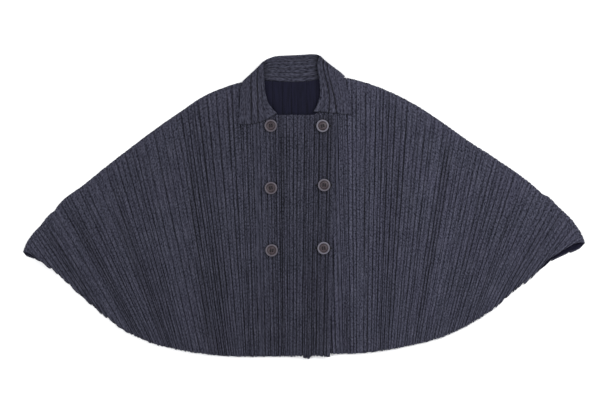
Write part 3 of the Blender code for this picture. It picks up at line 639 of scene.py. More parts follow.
    def rib(self, across):
        """Number of the rib at each distance across, and of the groove on its left."""
        k = np.searchsorted(self.grooves, across, side="right") - 1
        return np.clip(k, 0, len(self.grooves) - 2)

    def crease_marks(self, across, share):
        """How far the soft troughs and ridges sink the cloth, and how much shade is painted there.
        """
        sink = shade = 0.0
        fade = self.CREASE_FADE
        for crease, upper, lower in self.creases:
            centre = upper + (lower - upper) * share
            mark = np.exp(-((across - centre) / crease.half_width) ** 2)
            mark = mark * soft_step(share, crease.start - fade, crease.start + fade)
            mark = mark * (1.0 - soft_step(share, crease.end - fade, crease.end + fade))
            sink = sink + crease.sink * mark
            shade = shade + self.CREASE_DARK * crease.shade * mark
        return sink, shade

    def fold(self, across, share, length):
        """Height of the fold from 0 in the deepest groove to 1, and its painted light and shade."""
        along = share * length
        k = self.rib(across)
        left, right = across - self.grooves[k], self.grooves[k + 1] - across
        near = np.where(left < right, k, k + 1)
        room = self.grooves[k + 1] - self.grooves[k]
        half = np.minimum(self.groove_half[near], self.MOST_OF_RIB * room)
        inner = (near > 0) & (near < len(self.grooves) - 1)
        sink, shade = self.crease_marks(across, share)
        amount, wavelength = self.DEPTH_WANDER
        depth = self.groove_depth[near] + amount * self.wander(near, along, wavelength, 0) + sink
        depth = np.clip(depth, self.LEAST_DEPTH, 1.0)
        amount, wavelength = self.DROP_WANDER
        uneven = 1.0 - amount + amount * self.wander(k, along, wavelength, 1)
        middle = 2.0 * left / room - 1.0
        rib = 1.0 - self.rib_drop[k] * uneven - self.RIB_CROWN * middle ** 2 + self.tilt[k] * middle
        floor = 1.0 - depth
        rib = np.clip(rib - sink, floor + self.LEAST_RIB, 1.0)
        start, end = self.RIB_WALL
        wall_of_rib = soft_step(np.minimum(left, right), start * half, end * half)
        wall_of_rib = np.where(inner, wall_of_rib, 1.0)
        height = floor + (rib - floor) * wall_of_rib
        on_sleeve = soft_step(np.abs(np.interp(across, self.reach, self.tops)), *self.SLEEVE_X)
        # Painted shade in the grooves, weaker on the sleeves and at a shoulder seam
        dark = (1.0 - wall_of_rib) * depth * (self.GROOVE_DARK - self.SLEEVE_LESS_DARK * on_sleeve)
        opening = self.SEAM_OPEN + (1.0 - self.SEAM_OPEN) * soft_step(along, 0.0, self.SEAM_FADE)
        return height, 1.0 - np.clip(dark * opening + shade, *self.DARK_RANGE)

    def places(self, across, share, height):
        """Where each point lies on the floor, with scalloped ends and a slight sway."""
        top_x, top_y, hem_x, hem_y = self.ends(across)
        length = np.hypot(hem_x - top_x, hem_y - top_y)
        to_side = np.minimum(across, self.width - across)
        k = self.rib(across)
        reach_past = self.cloth.scallop / MM * (height - self.EDGE_LEVEL) + self.jut[k]
        if self.is_back:
            reach_past = reach_past - self.BACK_RETREAT
        reach_past = reach_past * soft_step(to_side, 0.0, self.SCALLOP_FROM_SIDE)
        rise = edge_curve(self.cut.hem, hem_x + 1.0) - edge_curve(self.cut.hem, hem_x - 1.0)
        crossing = np.abs((hem_x - top_x) * rise - (hem_y - top_y) * 2.0) / np.hypot(2.0, rise)
        crossing = np.maximum(crossing / length, self.STEEPEST)
        start = -reach_past * np.interp(top_x, self.SEWN_X, self.SEWN_REACH) / length
        middle = 2.0 * (across - self.grooves[k]) / (self.grooves[k + 1] - self.grooves[k]) - 1.0
        tooth = middle * np.interp(hem_x, self.TOOTH_X, self.TOOTH)
        end = 1.0 + (reach_past + tooth) / crossing / length
        spot = start + (end - start) * share
        amount, wavelength = self.SWAY
        sway = amount * self.wander(k, share * length, wavelength, 2)
        sway = sway * soft_step(to_side, *self.SWAY_FROM_SIDE)
        sway = sway * soft_step(length, *self.SWAY_LENGTH)
        x = top_x + (hem_x - top_x) * spot - sway * (hem_y - top_y) / length
        y = top_y + (hem_y - top_y) * spot + sway * (hem_x - top_x) / length
        return x, y

    def faces(self, across, share):
        """Place of each point, its lower and upper height, and its painted light and shade."""
        length = self.lengths(across)
        height, light = self.fold(across, share, length)
        x, y = self.places(across, share, height)
        press = (1.0 - ramp(share, 0.0, SEAM_SHARE)) * shoulder_press(x)
        press = np.maximum(press, ramp(share, 1.0 - SEAM_SHARE, 1.0) * underarm_press(x))
        low = neck_lift(x, y)
        if not self.is_back:
            low = low + FRONT_UNDER - SEAM_DROP * press + mouth_lift(x, y)
        if self.cut is RIGHT_FRONT:
            low = low + lap_lift(x, y)
        low = low + self.depth * height * (1.0 - (1.0 - SEAM_PRESS) * press)
        to_edge = np.minimum(share, 1.0 - share) * length
        to_edge = np.minimum(to_edge, np.minimum(across, self.width - across))
        least, whole = self.ROUNDED_EDGE
        full = least + (1.0 - least) * np.sqrt(ramp(to_edge, 0.0, whole))
        extra, place, half_width = self.TURNED_EDGE
        bulge = extra * np.exp(-((to_edge - place) / half_width) ** 2)
        middle = low + self.wall / 2
        thick = self.wall * (full + bulge)
        low = middle - thick / 2 + np.minimum(bulge, self.TURNED_DOWN)
        return x, y, low, middle + thick / 2, light - button_shade(x, y)

    def rows(self, lengths):
        """Shares of each pleat line where the mesh has rows, closer beside the two cut edges."""
        edge = np.array(self.EDGE_ROWS)
        inner = max(self.LEAST_ROWS, round((lengths.max() - 2 * edge[-1]) / (self.cloth.row / MM)))
        squeeze = np.minimum(1.0, lengths / self.SHORT_PLEAT)[:, None]
        near = edge[None, :] * squeeze / lengths[:, None]
        steps = np.arange(1, inner)[None, :] / inner
        middle = near[:, -1:] + (1.0 - 2.0 * near[:, -1:]) * steps
        return np.concatenate([near, middle, 1.0 - near[:, ::-1]], axis=1)


def smooth_mesh(name, points, faces):
    """A smoothly shaded mesh of these points, given in metres, and faces."""
    mesh = bpy.data.meshes.new(name)
    mesh.from_pydata(points.tolist(), [], faces)
    mesh.polygons.foreach_set("use_smooth", np.ones(len(faces), bool))
    mesh.update()
    return mesh


def shell_mesh(name, upper, lower, skip=1):
    """Join an upper and a lower grid of points into one closed sheet.

    The lower face may leave out rows, so that it has one for every skip rows of the upper.
    """
    columns, rows = upper.shape[:2]
    kept = sorted({*range(0, rows, skip), rows - 1})
    tops = np.arange(columns * rows).reshape(columns, rows)
    feet = np.arange(columns * len(kept)).reshape(columns, len(kept)) + columns * rows
    faces = []

    def quads(a, b, c, d):
        faces.extend(np.stack([a.ravel(), b.ravel(), c.ravel(), d.ravel()], 1).tolist())
        return len(faces)

    upper_end = quads(tops[:-1, :-1], tops[:-1, 1:], tops[1:, 1:], tops[1:, :-1])
    lower_end = quads(feet[:-1, :-1], feet[1:, :-1], feet[1:, 1:], feet[:-1, 1:])
    quads(tops[:-1, 0], tops[1:, 0], feet[1:, 0], feet[:-1, 0])
    quads(tops[1:, -1], tops[:-1, -1], feet[:-1, -1], feet[1:, -1])
    for j, (first, last) in enumerate(zip(kept, kept[1:])):
        left = tops[0, first:last + 1][::-1].tolist()
        right = tops[-1, first:last + 1].tolist()
        faces.append([*left, int(feet[0, j]), int(feet[0, j + 1])])
        faces.append([*right, int(feet[-1, j + 1]), int(feet[-1, j])])
    points = np.concatenate([upper.reshape(-1, 3), lower[:, kept].reshape(-1, 3)]) * MM
    return smooth_mesh(name, points, faces), kept, (upper_end, lower_end)


def write_attribute(mesh, name, kind, *parts):
    """Store a value or a place for each point, for the material to read."""
    attribute = mesh.attributes.new(name, kind, "POINT")
    field = "vector" if kind == "FLOAT_VECTOR" else "value"
    values = np.concatenate([np.ravel(part) for part in parts])
    attribute.data.foreach_set(field, values.astype(np.float32))


def add_piece(name, mesh, materials):
    """Put a finished mesh in the scene, riding on the coat."""
    piece = bpy.data.objects.new(name, mesh)
    bpy.context.scene.collection.objects.link(piece)
    for material in materials:
        mesh.materials.append(material)
    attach(piece, BODY)
    return piece


def panel_piece(cloth, cut):
    """Make a panel's sheet, with the reverse of the cloth on its inside."""
    panel = PanelCloth(cloth, cut)
    across = panel.columns()
    lengths = panel.lengths(across)
    share = panel.rows(lengths)
    wide = np.broadcast_to(across[:, None], share.shape)
    x, y, low, high, light = panel.faces(wide, share)
    mesh, kept, (upper_end, lower_end) = shell_mesh(
        cut.piece, np.stack([x, y, high], 2), np.stack([x, y, low], 2), cut.skip)
    weave = np.stack([wide, share * lengths[:, None], np.zeros_like(wide)], 2) * MM
    write_attribute(mesh, "weave", "FLOAT_VECTOR", weave, weave[:, kept])
    # Painted light: the upper face's as worked out, and the underside's painted shade from it
    under_light = 1.0 - UNDER_SHADE * (light[:, kept] - light.min())
    write_attribute(mesh, "nap", "FLOAT", light, np.clip(under_light, UNDER_DARKEST, 1.0))
    inside = np.zeros(len(mesh.polygons), np.int32)
    if panel.is_back:
        turned = ((1.0 - share) * lengths[:, None] < CUFF_TURNED_IN) & (np.abs(x) > CUFF_START)
        inside[:upper_end] = np.where(turned[:-1, :-1].ravel(), 0, 1)
    else:
        inside[upper_end:lower_end] = 1
    piece = add_piece(cut.piece, mesh, cloth_materials(cloth, cut.tone))
    mesh.polygons.foreach_set("material_index", inside)
    return piece


def collar_stations():
    """Stations every few millimetres, between those of the table."""
    known = np.array(COLLAR_STATIONS, float)
    rows, along = [], []
    for i in range(len(known) - 1):
        count = TURN_STEPS if (i, i + 1) in (LEFT_TURN, RIGHT_TURN) else STATION_STEPS
        for j in range(count):
            rows.append(known[i] + (known[i + 1] - known[i]) * j / count)
            along.append(i + j / count)
    rows.append(known[-1])
    along.append(len(known) - 1)
    return np.array(rows), np.array(along)


def collar_relief(grooves, along, share, length):
    """1 on a rib and 0 in a groove, at each point down the stand or leaf."""
    last = len(COLLAR_STATIONS) - 1
    turns = (0, LEFT_TURN[0] / 2, LEFT_TURN[0], RIGHT_TURN[1], (RIGHT_TURN[1] + last) / 2, last)
    relief = np.ones_like(share)
    for groove in grooves:
        down = np.interp(along, turns, groove.places)[:, None]
        away = np.abs(share - down) * length
        sunk = groove.depth * (1.0 - soft_step(away, *GROOVE_SIDES))
        relief = np.minimum(relief, 1.0 - sunk)
    return relief


def run_along(points):
    """Distance of each point from the first, along the path through them."""
    return np.concatenate([[0.0], np.cumsum(np.linalg.norm(np.diff(points, axis=0), axis=1))])


def collar_grid():
    """Middle of the collar's wall: stations along it, points from neck seam to leaf's edge."""
    rows, along = collar_stations()
    seam, roll, edge = rows[:, 0:2], rows[:, 2:4], rows[:, 4:6]
    turn = soft_step(rows[:, 6], 0.0, 1.0)
    angle = np.pi * turn
    side = np.where((edge[:, 0] + roll[:, 0]) / 2 > COLLAR_MIDDLE_X, 1.0, -1.0)
    leaf_length = np.linalg.norm(edge - roll, axis=1)[:, None]
    fold = (edge - roll) / leaf_length
    outward = np.stack([-fold[:, 1], fold[:, 0]], 1) * side[:, None]
    centres = np.array([STAND_BACK_MID + STAND_FRONT_MID, LEAF_BACK_MID + LEAF_FRONT_MID]) / 2
    swings = np.array([STAND_FRONT_MID - STAND_BACK_MID, LEAF_FRONT_MID - LEAF_BACK_MID]) / 2
    stand_z, leaf_z = centres[:, None] - swings[:, None] * np.cos(angle)
    radius = np.maximum(np.abs(leaf_z - stand_z) / 2, ROLL_RADIUS)[:, None]
    stand_length = np.linalg.norm(seam - roll, axis=1)[:, None]
    stand_top = roll + (seam - roll) / stand_length * radius
    leaf_top = roll + fold * radius
    stand_share = np.broadcast_to(np.linspace(0.0, 1.0, STAND_POINTS), (len(rows), STAND_POINTS))
    leaf_share = np.broadcast_to(np.linspace(0.0, 1.0, LEAF_POINTS), (len(rows), LEAF_POINTS))
    bend = np.linspace(0.0, np.pi, ROLL_POINTS + 2)[1:-1]
    ply = (1.0 - np.cos(bend)) / 2

    stand = seam[:, None] + (stand_top - seam)[:, None] * stand_share[..., None]
    inner = stand_top[:, None] + (leaf_top - stand_top)[:, None] * ply[None, :, None]
    turned = inner + (roll[:, None] - inner) * np.sin(bend)[None, :, None]
    leaf = leaf_top[:, None] + (edge - leaf_top)[:, None] * leaf_share[..., None]
    rounded = np.sin(np.pi * leaf_share) * (1.0 - soft_step(along, 0.0, LEFT_LEAF_FADE))[:, None]
    leaf[..., 1] -= LEFT_LEAF_DROP * rounded
    place = np.concatenate([stand, turned, leaf], axis=1)
    relief = np.concatenate([
        collar_relief(STAND_GROOVES, along, stand_share, stand_length),
        np.ones((len(rows), ROLL_POINTS)),
        collar_relief(LEAF_GROOVES, along, leaf_share, leaf_length),
    ], axis=1)

    plies = np.concatenate([np.zeros(STAND_POINTS), ply, np.ones(LEAF_POINTS)])[None, :]
    centre = centres[0] + (centres[1] - centres[0]) * plies
    swing = swings[0] + (swings[1] - swings[0]) * plies
    rib = COLLAR_RIB * relief
    fronts = turn[:, None]
    swing = np.where(plies < 0.5, swing - rib * (1.0 - fronts), swing + rib * fronts)
    height = centre - swing * np.cos(angle)[:, None]
    on_left = side[:, None] < 0.0
    lift = neck_lift(place[..., 0], place[..., 1]) - NECK_LIFT
    lift = lift + np.where(on_left, lap_lift(place[..., 0], place[..., 1]), 0.0)
    height = height + lift * soft_step(rows[:, 6], *LIFT_TURN)[:, None]

    down_leaf = np.concatenate([np.zeros(STAND_POINTS + ROLL_POINTS), leaf_share[0]])
    left_bulge, right_bulge = (
        np.interp(down_leaf, BULGE_PLACES, bulge) for bulge in (LEFT_BULGE, RIGHT_BULGE))
    bulge = np.where(on_left, left_bulge, right_bulge) * np.sin(angle)[:, None]
    spot = place + outward[:, None] * bulge[..., None]
    grid = np.concatenate([spot, height[..., None]], axis=2)
    down, far = run_along(grid[len(rows) // 2]), run_along(grid[:, STAND_POINTS])
    weave = np.stack(np.broadcast_arrays(down[None, :], far[:, None] * COLLAR_DRAWN, 0.0), 2)
    return grid, relief, weave


def smoothed(grid, times):
    """Soften the corners between stations, with both ends held."""
    for _ in range(times):
        inner = (grid[:-2] + 2.0 * grid[1:-1] + grid[2:]) / 4.0
        grid = np.concatenate([grid[:1], inner, grid[-1:]])
    return grid


def from_ends(count):
    """How many steps each of so many rows is from the nearer end."""
    return np.minimum(np.arange(count), np.arange(count)[::-1])


def collar_piece(materials):
    """The collar, a ribbed strip folded on itself round the neck."""
    grid, relief, weave = collar_grid()
    grid = smoothed(grid, COLLAR_SMOOTHING)
    normal = np.cross(np.gradient(grid, axis=0), np.gradient(grid, axis=1))
    normal = normal / np.linalg.norm(normal, axis=2)[..., None]
    rows, points = grid.shape[:2]
    to_edge = np.minimum(from_ends(rows)[:, None], from_ends(points)[None, :])
    half = np.where(to_edge == 0, COLLAR_EDGE, 1.0)[..., None] * COLLAR_WALL / 2
    mesh, kept, _ends = shell_mesh("collar_cloth", grid + normal * half, grid - normal * half)
    write_attribute(mesh, "weave", "FLOAT_VECTOR", weave * MM, weave[:, kept] * MM)
    # Painted light on the collar: painted shade in its grooves, darker on the left leaf and lighter
    # on the right, beside the stand's folds and at its two ends
    dark, light = COLLAR_PAINTED_LIGHT
    light = dark + light * relief
    light = light * np.interp(grid[..., 0].mean(axis=1), NECK_SIDES_X, SIDE_LIGHT)[:, None]
    in_stand = np.arange(points)[None, :] < STAND_POINTS
    for shade in STAND_SHADES:
        beside = np.exp(-((grid[..., 0] - shade.x) / shade.half_width) ** 2)
        light = light * np.where(in_stand, 1.0 - shade.shade * beside, 1.0)
    light = light * (END_LIGHT + (1.0 - END_LIGHT) * ramp(from_ends(rows), 0.0, 2.0))[:, None]
    write_attribute(mesh, "nap", "FLOAT", light, light[:, kept])
    return add_piece("collar_cloth", mesh, materials)


def stitch_mesh(name, stitches, radius):
    """Join many short threads, each from a to b and tapered into the cloth at both ends."""
    a, b = np.array(stitches).transpose(1, 0, 2)
    along = (b - a) / np.linalg.norm(b - a, axis=1)[:, None]
    across = np.cross(along, (0.0, 0.0, 1.0))
    across = across / np.maximum(np.linalg.norm(across, axis=1)[:, None], 1e-9)
    up = np.cross(across, along)
    points = []
    for share, fat, sink in STITCH_RINGS:
        middle = a + (b - a) * share + up * radius * sink
        for turn in np.arange(STITCH_SIDES) * 2.0 * np.pi / STITCH_SIDES:
            points.append(middle + (across * math.cos(turn) + up * math.sin(turn)) * radius * fat)
    points = np.stack(points, 1)
    last = points.shape[1] - STITCH_SIDES
    faces = [tuple(range(STITCH_SIDES))[::-1], tuple(range(last, last + STITCH_SIDES))]
    for ring in range(0, last, STITCH_SIDES):
        for i in range(STITCH_SIDES):
            j = (i + 1) % STITCH_SIDES
            faces.append((ring + i, ring + j, ring + STITCH_SIDES + j, ring + STITCH_SIDES + i))
    firsts = range(0, len(a) * points.shape[1], points.shape[1])
    faces = [tuple(first + i for i in face) for first in firsts for face in faces]
    return smooth_mesh(name, points.reshape(-1, 3) * MM, faces)


def stitch_line(panel, across, share):
    """Stitches along a path on a panel's upper face."""
    x, y, _low, high, _light = panel.faces(across, share)
    path = np.stack([x, y, high + STITCH_LIFT], 1)
    run = run_along(path)
    starts = np.arange(0.0, run[-1] - STITCH_STEP, STITCH_STEP)
    first, last = (
        np.stack([np.interp(places, run, path[:, i]) for i in range(3)], 1)
        for places in (starts, starts + STITCH_STEP - STITCH_GAP))
    return list(zip(first, last))


def add_node(tree, kind, output, inputs=None, **settings):
    """Add a shader node with its settings, and give back its output of that name.

    Each input is given a value or is linked to the output of another node.
    """
    node = tree.nodes.new("ShaderNode" + kind)
    for name, value in settings.items():
        setattr(node, name, value)
    for socket, value in (inputs or {}).items():
        if isinstance(value, bpy.types.NodeSocket):
            tree.links.new(value, node.inputs[socket])
        else:
            node.inputs[socket].default_value = value
    return node.outputs[output] if output else None


def blank_material(name):
    """A material with nothing in it, and the function that adds a node to it."""
    material = bpy.data.materials.new(name)
    material.use_nodes = True
    material.node_tree.nodes.clear()
    return material, partial(add_node, material.node_tree)


def mark_scale(width, length):
    """Scale of marks of this size, across and along the pleats."""
    return 1.0 / (width * MM), 1.0 / (length * MM), 1.0


def pleated_tweed(name, cloth, lightness, lilac_share, contrast):
    """Heathered polyester tweed, woven and heat pleated.

    Dark and light fibres give salt and pepper speckles, drawn out along the pleats. Painted shade
    darkens the grooves and troughs, painted light brightens the ridges, and a thin pile gives a
    soft sheen at low angles.
    """
    material, add = blank_material(name)
    place = add("Attribute", "Vector", attribute_name="weave")
    nap = add("Attribute", "Fac", attribute_name="nap")
    grain = add(
        "VectorMath", "Vector", {0: place, 1: mark_scale(*HEATHER_GRAIN)}, operation="MULTIPLY")
    fibres = add(
        "TexNoise", "Fac",
        {"Vector": grain, "Scale": 1.0, "Detail": 2.0, "Roughness": 0.55}, noise_dimensions="2D")
    spread = 0.09 / contrast
    speckle = add(
        "MapRange", "Result",
        {"Value": fibres, "From Min": 0.5 - spread, "From Max": 0.5 + spread})
    drawn_out = add("VectorMath", "Vector", {0: place, 1: mark_scale(*SLUBS)}, operation="MULTIPLY")
    slubs = add(
        "TexNoise", "Fac",
        {"Vector": drawn_out, "Scale": 1.0, "Detail": 2.0, "Roughness": 0.5}, noise_dimensions="2D")
    slub_light = add(
        "MapRange", "Result",
        {"Value": slubs, "From Min": 0.48, "From Max": 0.74, "To Max": 0.20})
    patches = add(
        "TexNoise", "Fac",
        {"Vector": place, "Scale": 1.0 / (LILAC_PATCHES * MM), "Detail": 2.0, "Roughness": 0.5},
        noise_dimensions="2D")
    patch_share = add(
        "MapRange", "Result",
        {"Value": patches, "From Min": 0.35, "From Max": 0.7, "To Max": lilac_share})
    colour = add(
        "Mix", "Result",
        {"Factor": speckle, "A": tuple(cloth.dark_yarn), "B": tuple(cloth.middle_yarn)},
        data_type="RGBA")
    for share, tone in ((slub_light, cloth.light_yarn), (patch_share, cloth.lilac)):
        colour = add(
            "Mix", "Result", {"Factor": share, "A": colour, "B": tuple(tone)}, data_type="RGBA")
    # The painted light attribute, made uneven by the slubs, scales the colour: painted shade in
    # grooves and troughs, painted light on ridges
    broken = add("Math", "Value", {0: slubs, 1: 0.6, 2: -0.30}, operation="MULTIPLY_ADD")
    slubs_and_painted_light = add("Math", "Value", {0: nap, 1: broken}, operation="ADD")
    groove_dark = add(
        "MapRange", "Result",
        {"Value": slubs_and_painted_light, "From Min": 0.05, "From Max": 1.3, "To Min": 0.22 * lightness,
         "To Max": 1.3 * lightness})
    shaded = add("VectorMath", "Vector", {0: colour, "Scale": groove_dark}, operation="SCALE")
    relief = fibres
    for direction in ("X", "Y"):
        threads = add(
            "TexWave", "Fac",
            {"Vector": place, "Scale": WAVE_LENGTH / (YARN_SPACING * MM), "Distortion": 1.4,
             "Detail": 1.0}, wave_type="BANDS", bands_direction=direction)
        relief = add("Math", "Value", {0: relief, 1: threads}, operation="ADD")
    bump = add("Bump", "Normal", {"Height": relief, "Strength": 0.3, "Distance": 0.25 * MM})
    surface = add(
        "BsdfPrincipled", "BSDF",
        {"Base Color": shaded, "Normal": bump, "Roughness": 0.92, "Specular IOR Level": 0.14,
         "IOR": 1.5, "Sheen Weight": 0.09, "Sheen Roughness": 0.45,
         "Sheen Tint": from_hex("c5c5e5")})
    add("OutputMaterial", None, {"Surface": surface})
    return material


def tweed_reverse(name, cloth):
    """The unbrushed back of the tweed.

    It has no light fibres and no pile, so it looks smooth and nearly black inside the coat.
    Painted shade from the painted light attribute darkens it further.
    """
    material, add = blank_material(name)
    place = add("Attribute", "Vector", attribute_name="weave")
    nap = add("Attribute", "Fac", attribute_name="nap")
    streaks = add(
        "VectorMath", "Vector", {0: place, 1: mark_scale(*REVERSE_STREAKS)}, operation="MULTIPLY")
    fibres = add(
        "TexNoise", "Fac",
        {"Vector": streaks, "Scale": 1.0, "Detail": 2.0, "Roughness": 0.5}, noise_dimensions="2D")
    tone = add(
        "MapRange", "Result",
        {"Value": fibres, "From Min": 0.3, "From Max": 0.7, "To Min": 0.75, "To Max": 1.2})
    # Painted shade: the painted light attribute darkens the inside's colour
    depth = add(
        "MapRange", "Result", {"Value": nap, "From Min": 0.1, "From Max": 1.0, "To Min": 0.55})
    tone = add("Math", "Value", {0: tone, 1: depth}, operation="MULTIPLY")
    shaded = add(
        "VectorMath", "Vector", {0: tuple(cloth.reverse)[:3], "Scale": tone}, operation="SCALE")
    bump = add("Bump", "Normal", {"Height": fibres, "Strength": 0.3, "Distance": 0.2 * MM})
    surface = add(
        "BsdfPrincipled", "BSDF",
        {"Base Color": shaded, "Normal": bump, "Roughness": 0.88, "Specular IOR Level": 0.12,
         "IOR": 1.5, "Sheen Weight": 0.04, "Sheen Roughness": 0.5,
         "Sheen Tint": from_hex("bcbce1")})
    add("OutputMaterial", None, {"Surface": surface})
    return material


def spun_thread(name, cloth):
    """Spun polyester sewing thread: two plies twisted together, matte and a little hairy."""
    material, add = blank_material(name)
    place = add("TexCoord", "Object")
    plies = add(
        "TexWave", "Fac",
        {"Vector": place, "Scale": WAVE_LENGTH / (PLY_LENGTH * MM), "Distortion": 2.0},
        wave_type="BANDS", bands_direction="DIAGONAL")
    dark = (*(0.6 * channel for channel in cloth.thread[:3]), 1.0)
    colour = add(
        "Mix", "Result", {"Factor": plies, "A": dark, "B": tuple(cloth.thread)}, data_type="RGBA")
    bump = add("Bump", "Normal", {"Height": plies, "Strength": 0.4, "Distance": 0.1 * MM})
    surface = add(
        "BsdfPrincipled", "BSDF",
        {"Base Color": colour, "Normal": bump, "Roughness": 0.7, "Specular IOR Level": 0.2,
         "IOR": 1.5, "Sheen Weight": 0.05})
    add("OutputMaterial", None, {"Surface": surface})
    return material


def cast_polyester(name, buttons):
    """Button polyester, cast with a swirl of a darker batch, turned and tumble polished.

    The eye sees a warm brown disc with faint streaks, a paler rim that is a painted highlight,
    and painted shade in the groove between them and round the holes.
    """
    material, add = blank_material(name)
    place = add("TexCoord", "Object")
    swirl = add(
        "TexNoise", "Fac",
        {"Vector": place, "Scale": 1.0 / (SWIRL * MM), "Detail": 4.0, "Roughness": 0.6,
         "Distortion": 1.8})
    streaks = add("MapRange", "Result", {"Value": swirl, "From Min": 0.42, "From Max": 0.68})
    worn = add("Attribute", "Fac", attribute_name="worn")
    grime = add("Attribute", "Fac", attribute_name="grime")
    colour = tuple(buttons.ground)
    # Swirl streaks, then the rim's painted highlight and the painted shade in groove and holes
    for share, tone in (
            (streaks, buttons.swirl), (worn, buttons.rim), (grime, buttons.grime)):
        colour = add(
            "Mix", "Result", {"Factor": share, "A": colour, "B": tuple(tone)}, data_type="RGBA")
    tumble = add(
        "TexNoise", "Fac", {"Vector": place, "Scale": 1.0 / (TUMBLE_MARKS * MM), "Detail": 2.0})
    gloss = add("MapRange", "Result", {"Value": tumble, "To Min": 0.30, "To Max": 0.46})
    bump = add("Bump", "Normal", {"Height": tumble, "Strength": 0.12, "Distance": 0.1 * MM})
    surface = add(
        "BsdfPrincipled", "BSDF",
        {"Base Color": colour, "Normal": bump, "Roughness": gloss, "IOR": 1.54,
         "Specular IOR Level": 0.18})
    add("OutputMaterial", None, {"Surface": surface})
    return material


def studio_paint(name, studio):
    """Matt white paint on the studio floor, evenly rolled."""
    material, add = blank_material(name)
    place = add("TexCoord", "Object")
    scale = 1.0 / (ROLLER_STIPPLE * MM)
    roller = add("TexNoise", "Fac", {"Vector": place, "Scale": scale, "Detail": 3.0})
    bump = add("Bump", "Normal", {"Height": roller, "Strength": 0.05, "Distance": 0.2 * MM})
    surface = add(
        "BsdfPrincipled", "BSDF",
        {"Base Color": tuple(studio.floor), "Normal": bump, "Roughness": 0.9,
         "Specular IOR Level": 0.1})
    add("OutputMaterial", None, {"Surface": surface})
    return material


def shared_material(name, make, *settings):
    """The material of this name, made the first time that a piece asks for it."""
    return bpy.data.materials.get(name) or make(name, *settings)


def cloth_materials(cloth, tone):
    """Outside and inside of a panel, or of the collar, which is pressed smoother."""
    tweed = TWEEDS[tone]
    return (
        shared_material(tweed.name, pleated_tweed, cloth, *tweed[1:]),
        shared_material("tweed_reverse", tweed_reverse, cloth))


def turned_mesh(name, section, steps):
    """Turn half a section round the upright axis. Its two ends lie on the axis."""
    points = [(0.0, 0.0, section[0][1])]
    for across, height in section[1:-1]:
        for i in range(steps):
            turn = 2.0 * math.pi * i / steps
            points.append((across * math.cos(turn), across * math.sin(turn), height))
    points.append((0.0, 0.0, section[-1][1]))
    faces = []
    last = len(points) - 1 - steps
    for i in range(steps):
        after = (i + 1) % steps
        faces.append((0, 1 + i, 1 + after))
        for first in range(1, last, steps):
            faces.append((first + i, first + steps + i, first + steps + after, first + after))
        faces.append((last + i, last + steps, last + after))
    return smooth_mesh(name, np.array(points) * MM, faces)


def button_place(button, buttons):
    """Where a button sits and how it leans."""
    lean = (math.radians(button.lean_x), math.radians(button.lean_y))
    reach = BUTTON_FOOT * buttons.diameter / 2 / MM
    tip = reach * math.hypot(math.sin(lean[0]), math.sin(lean[1]))
    place = Vector((button.x, button.y, button.base + LAYER_GAP + tip))
    return place, Euler((lean[0], lean[1], math.radians(button.spin))).to_matrix()


def drilled_blank(name, buttons):
    """A level button at the origin, turned and then drilled."""
    radius, thick = buttons.diameter / 2 / MM, buttons.thick / MM
    section = [(share * radius, height * thick) for share, height in BUTTON_SECTION]
    piece = bpy.data.objects.new(name, turned_mesh(name, section, BUTTON_STEPS))
    bpy.context.scene.collection.objects.link(piece)
    ring, hole = buttons.hole_ring, buttons.hole / 2 / MM
    above, below = DRILL_ENDS
    section = ((0.0, above), (hole, above), (hole, below), (0.0, below))
    drills = []
    for quarter in range(4):
        turn = math.pi / 4 + quarter * math.pi / 2
        drill = bpy.data.objects.new("drill", turned_mesh("drill", section, HOLE_STEPS))
        drill.location = (ring * math.cos(turn), ring * math.sin(turn), 0.0)
        bpy.context.scene.collection.objects.link(drill)
        drills.append(drill)
        cut = piece.modifiers.new("hole", "BOOLEAN")
        cut.operation = "DIFFERENCE"
        cut.object = drill
    bpy.context.view_layer.update()
    shown = piece.evaluated_get(bpy.context.evaluated_depsgraph_get())
    drilled = bpy.data.meshes.new_from_object(shown)
    for helper in (piece, *drills):
        bpy.data.objects.remove(helper, do_unlink=True)
    return drilled


def button_piece(button, buttons, material):
    """One four-hole button, with a painted highlight and painted shade, leaning on its thread."""
    name = button.node + "_turned"
    mesh = drilled_blank(name, buttons)
    corners = np.empty(len(mesh.vertices) * 3, np.float32)
    mesh.vertices.foreach_get("co", corners)
    corners = corners.reshape(-1, 3)
    from_axis = np.hypot(corners[:, 0], corners[:, 1]) / (buttons.diameter / 2)
    # The rim's painted highlight, and painted shade in the groove and round the holes
    write_attribute(mesh, "worn", "FLOAT", button.rub * soft_step(from_axis, *HIGHLIGHT_RIM))
    grime = sum(
        dark * np.exp(-((from_axis - place) / half_width) ** 2)
        for place, half_width, dark in RECESS_SHADE)
    write_attribute(mesh, "grime", "FLOAT", grime)
    place, lean = button_place(button, buttons)
    mesh.transform(lean.to_4x4())
    mesh.transform(Matrix.Translation(place * MM))
    mesh.polygons.foreach_set("use_smooth", np.ones(len(mesh.polygons), bool))
    mesh.set_sharp_from_angle(angle=math.radians(SHARP_ANGLE))
    piece = add_piece(name, mesh, [material])
    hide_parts(button.node)
    return piece


def button_threads(buttons):
    """The threads through every button's holes and down to the cloth under it."""
    stitches = []
    ring = buttons.hole_ring / MM * math.cos(math.pi / 4)
    face = BUTTON_FACE * buttons.thick / MM + THREAD_LIFT
    for button in BUTTONS:
        place, lean = button_place(button, buttons)
        for side in (-1.0, 1.0):
            for strand in THREAD_STRANDS:
                stitches.append([
                    place + lean @ Vector((side * ring + strand, end * (ring + THREAD_PAST), face))
                    for end in (-1.0, 1.0)])
            for end in (-1.0, 1.0):
                hole = place + lean @ Vector((side * ring, end * ring, face - THREAD_DIP))
                foot = Vector((
                    button.x + side * THREAD_FOOT, button.y + end * THREAD_FOOT,
                    button.base - THREAD_SUNK))
                stitches.append([hole, foot])
    return stitches


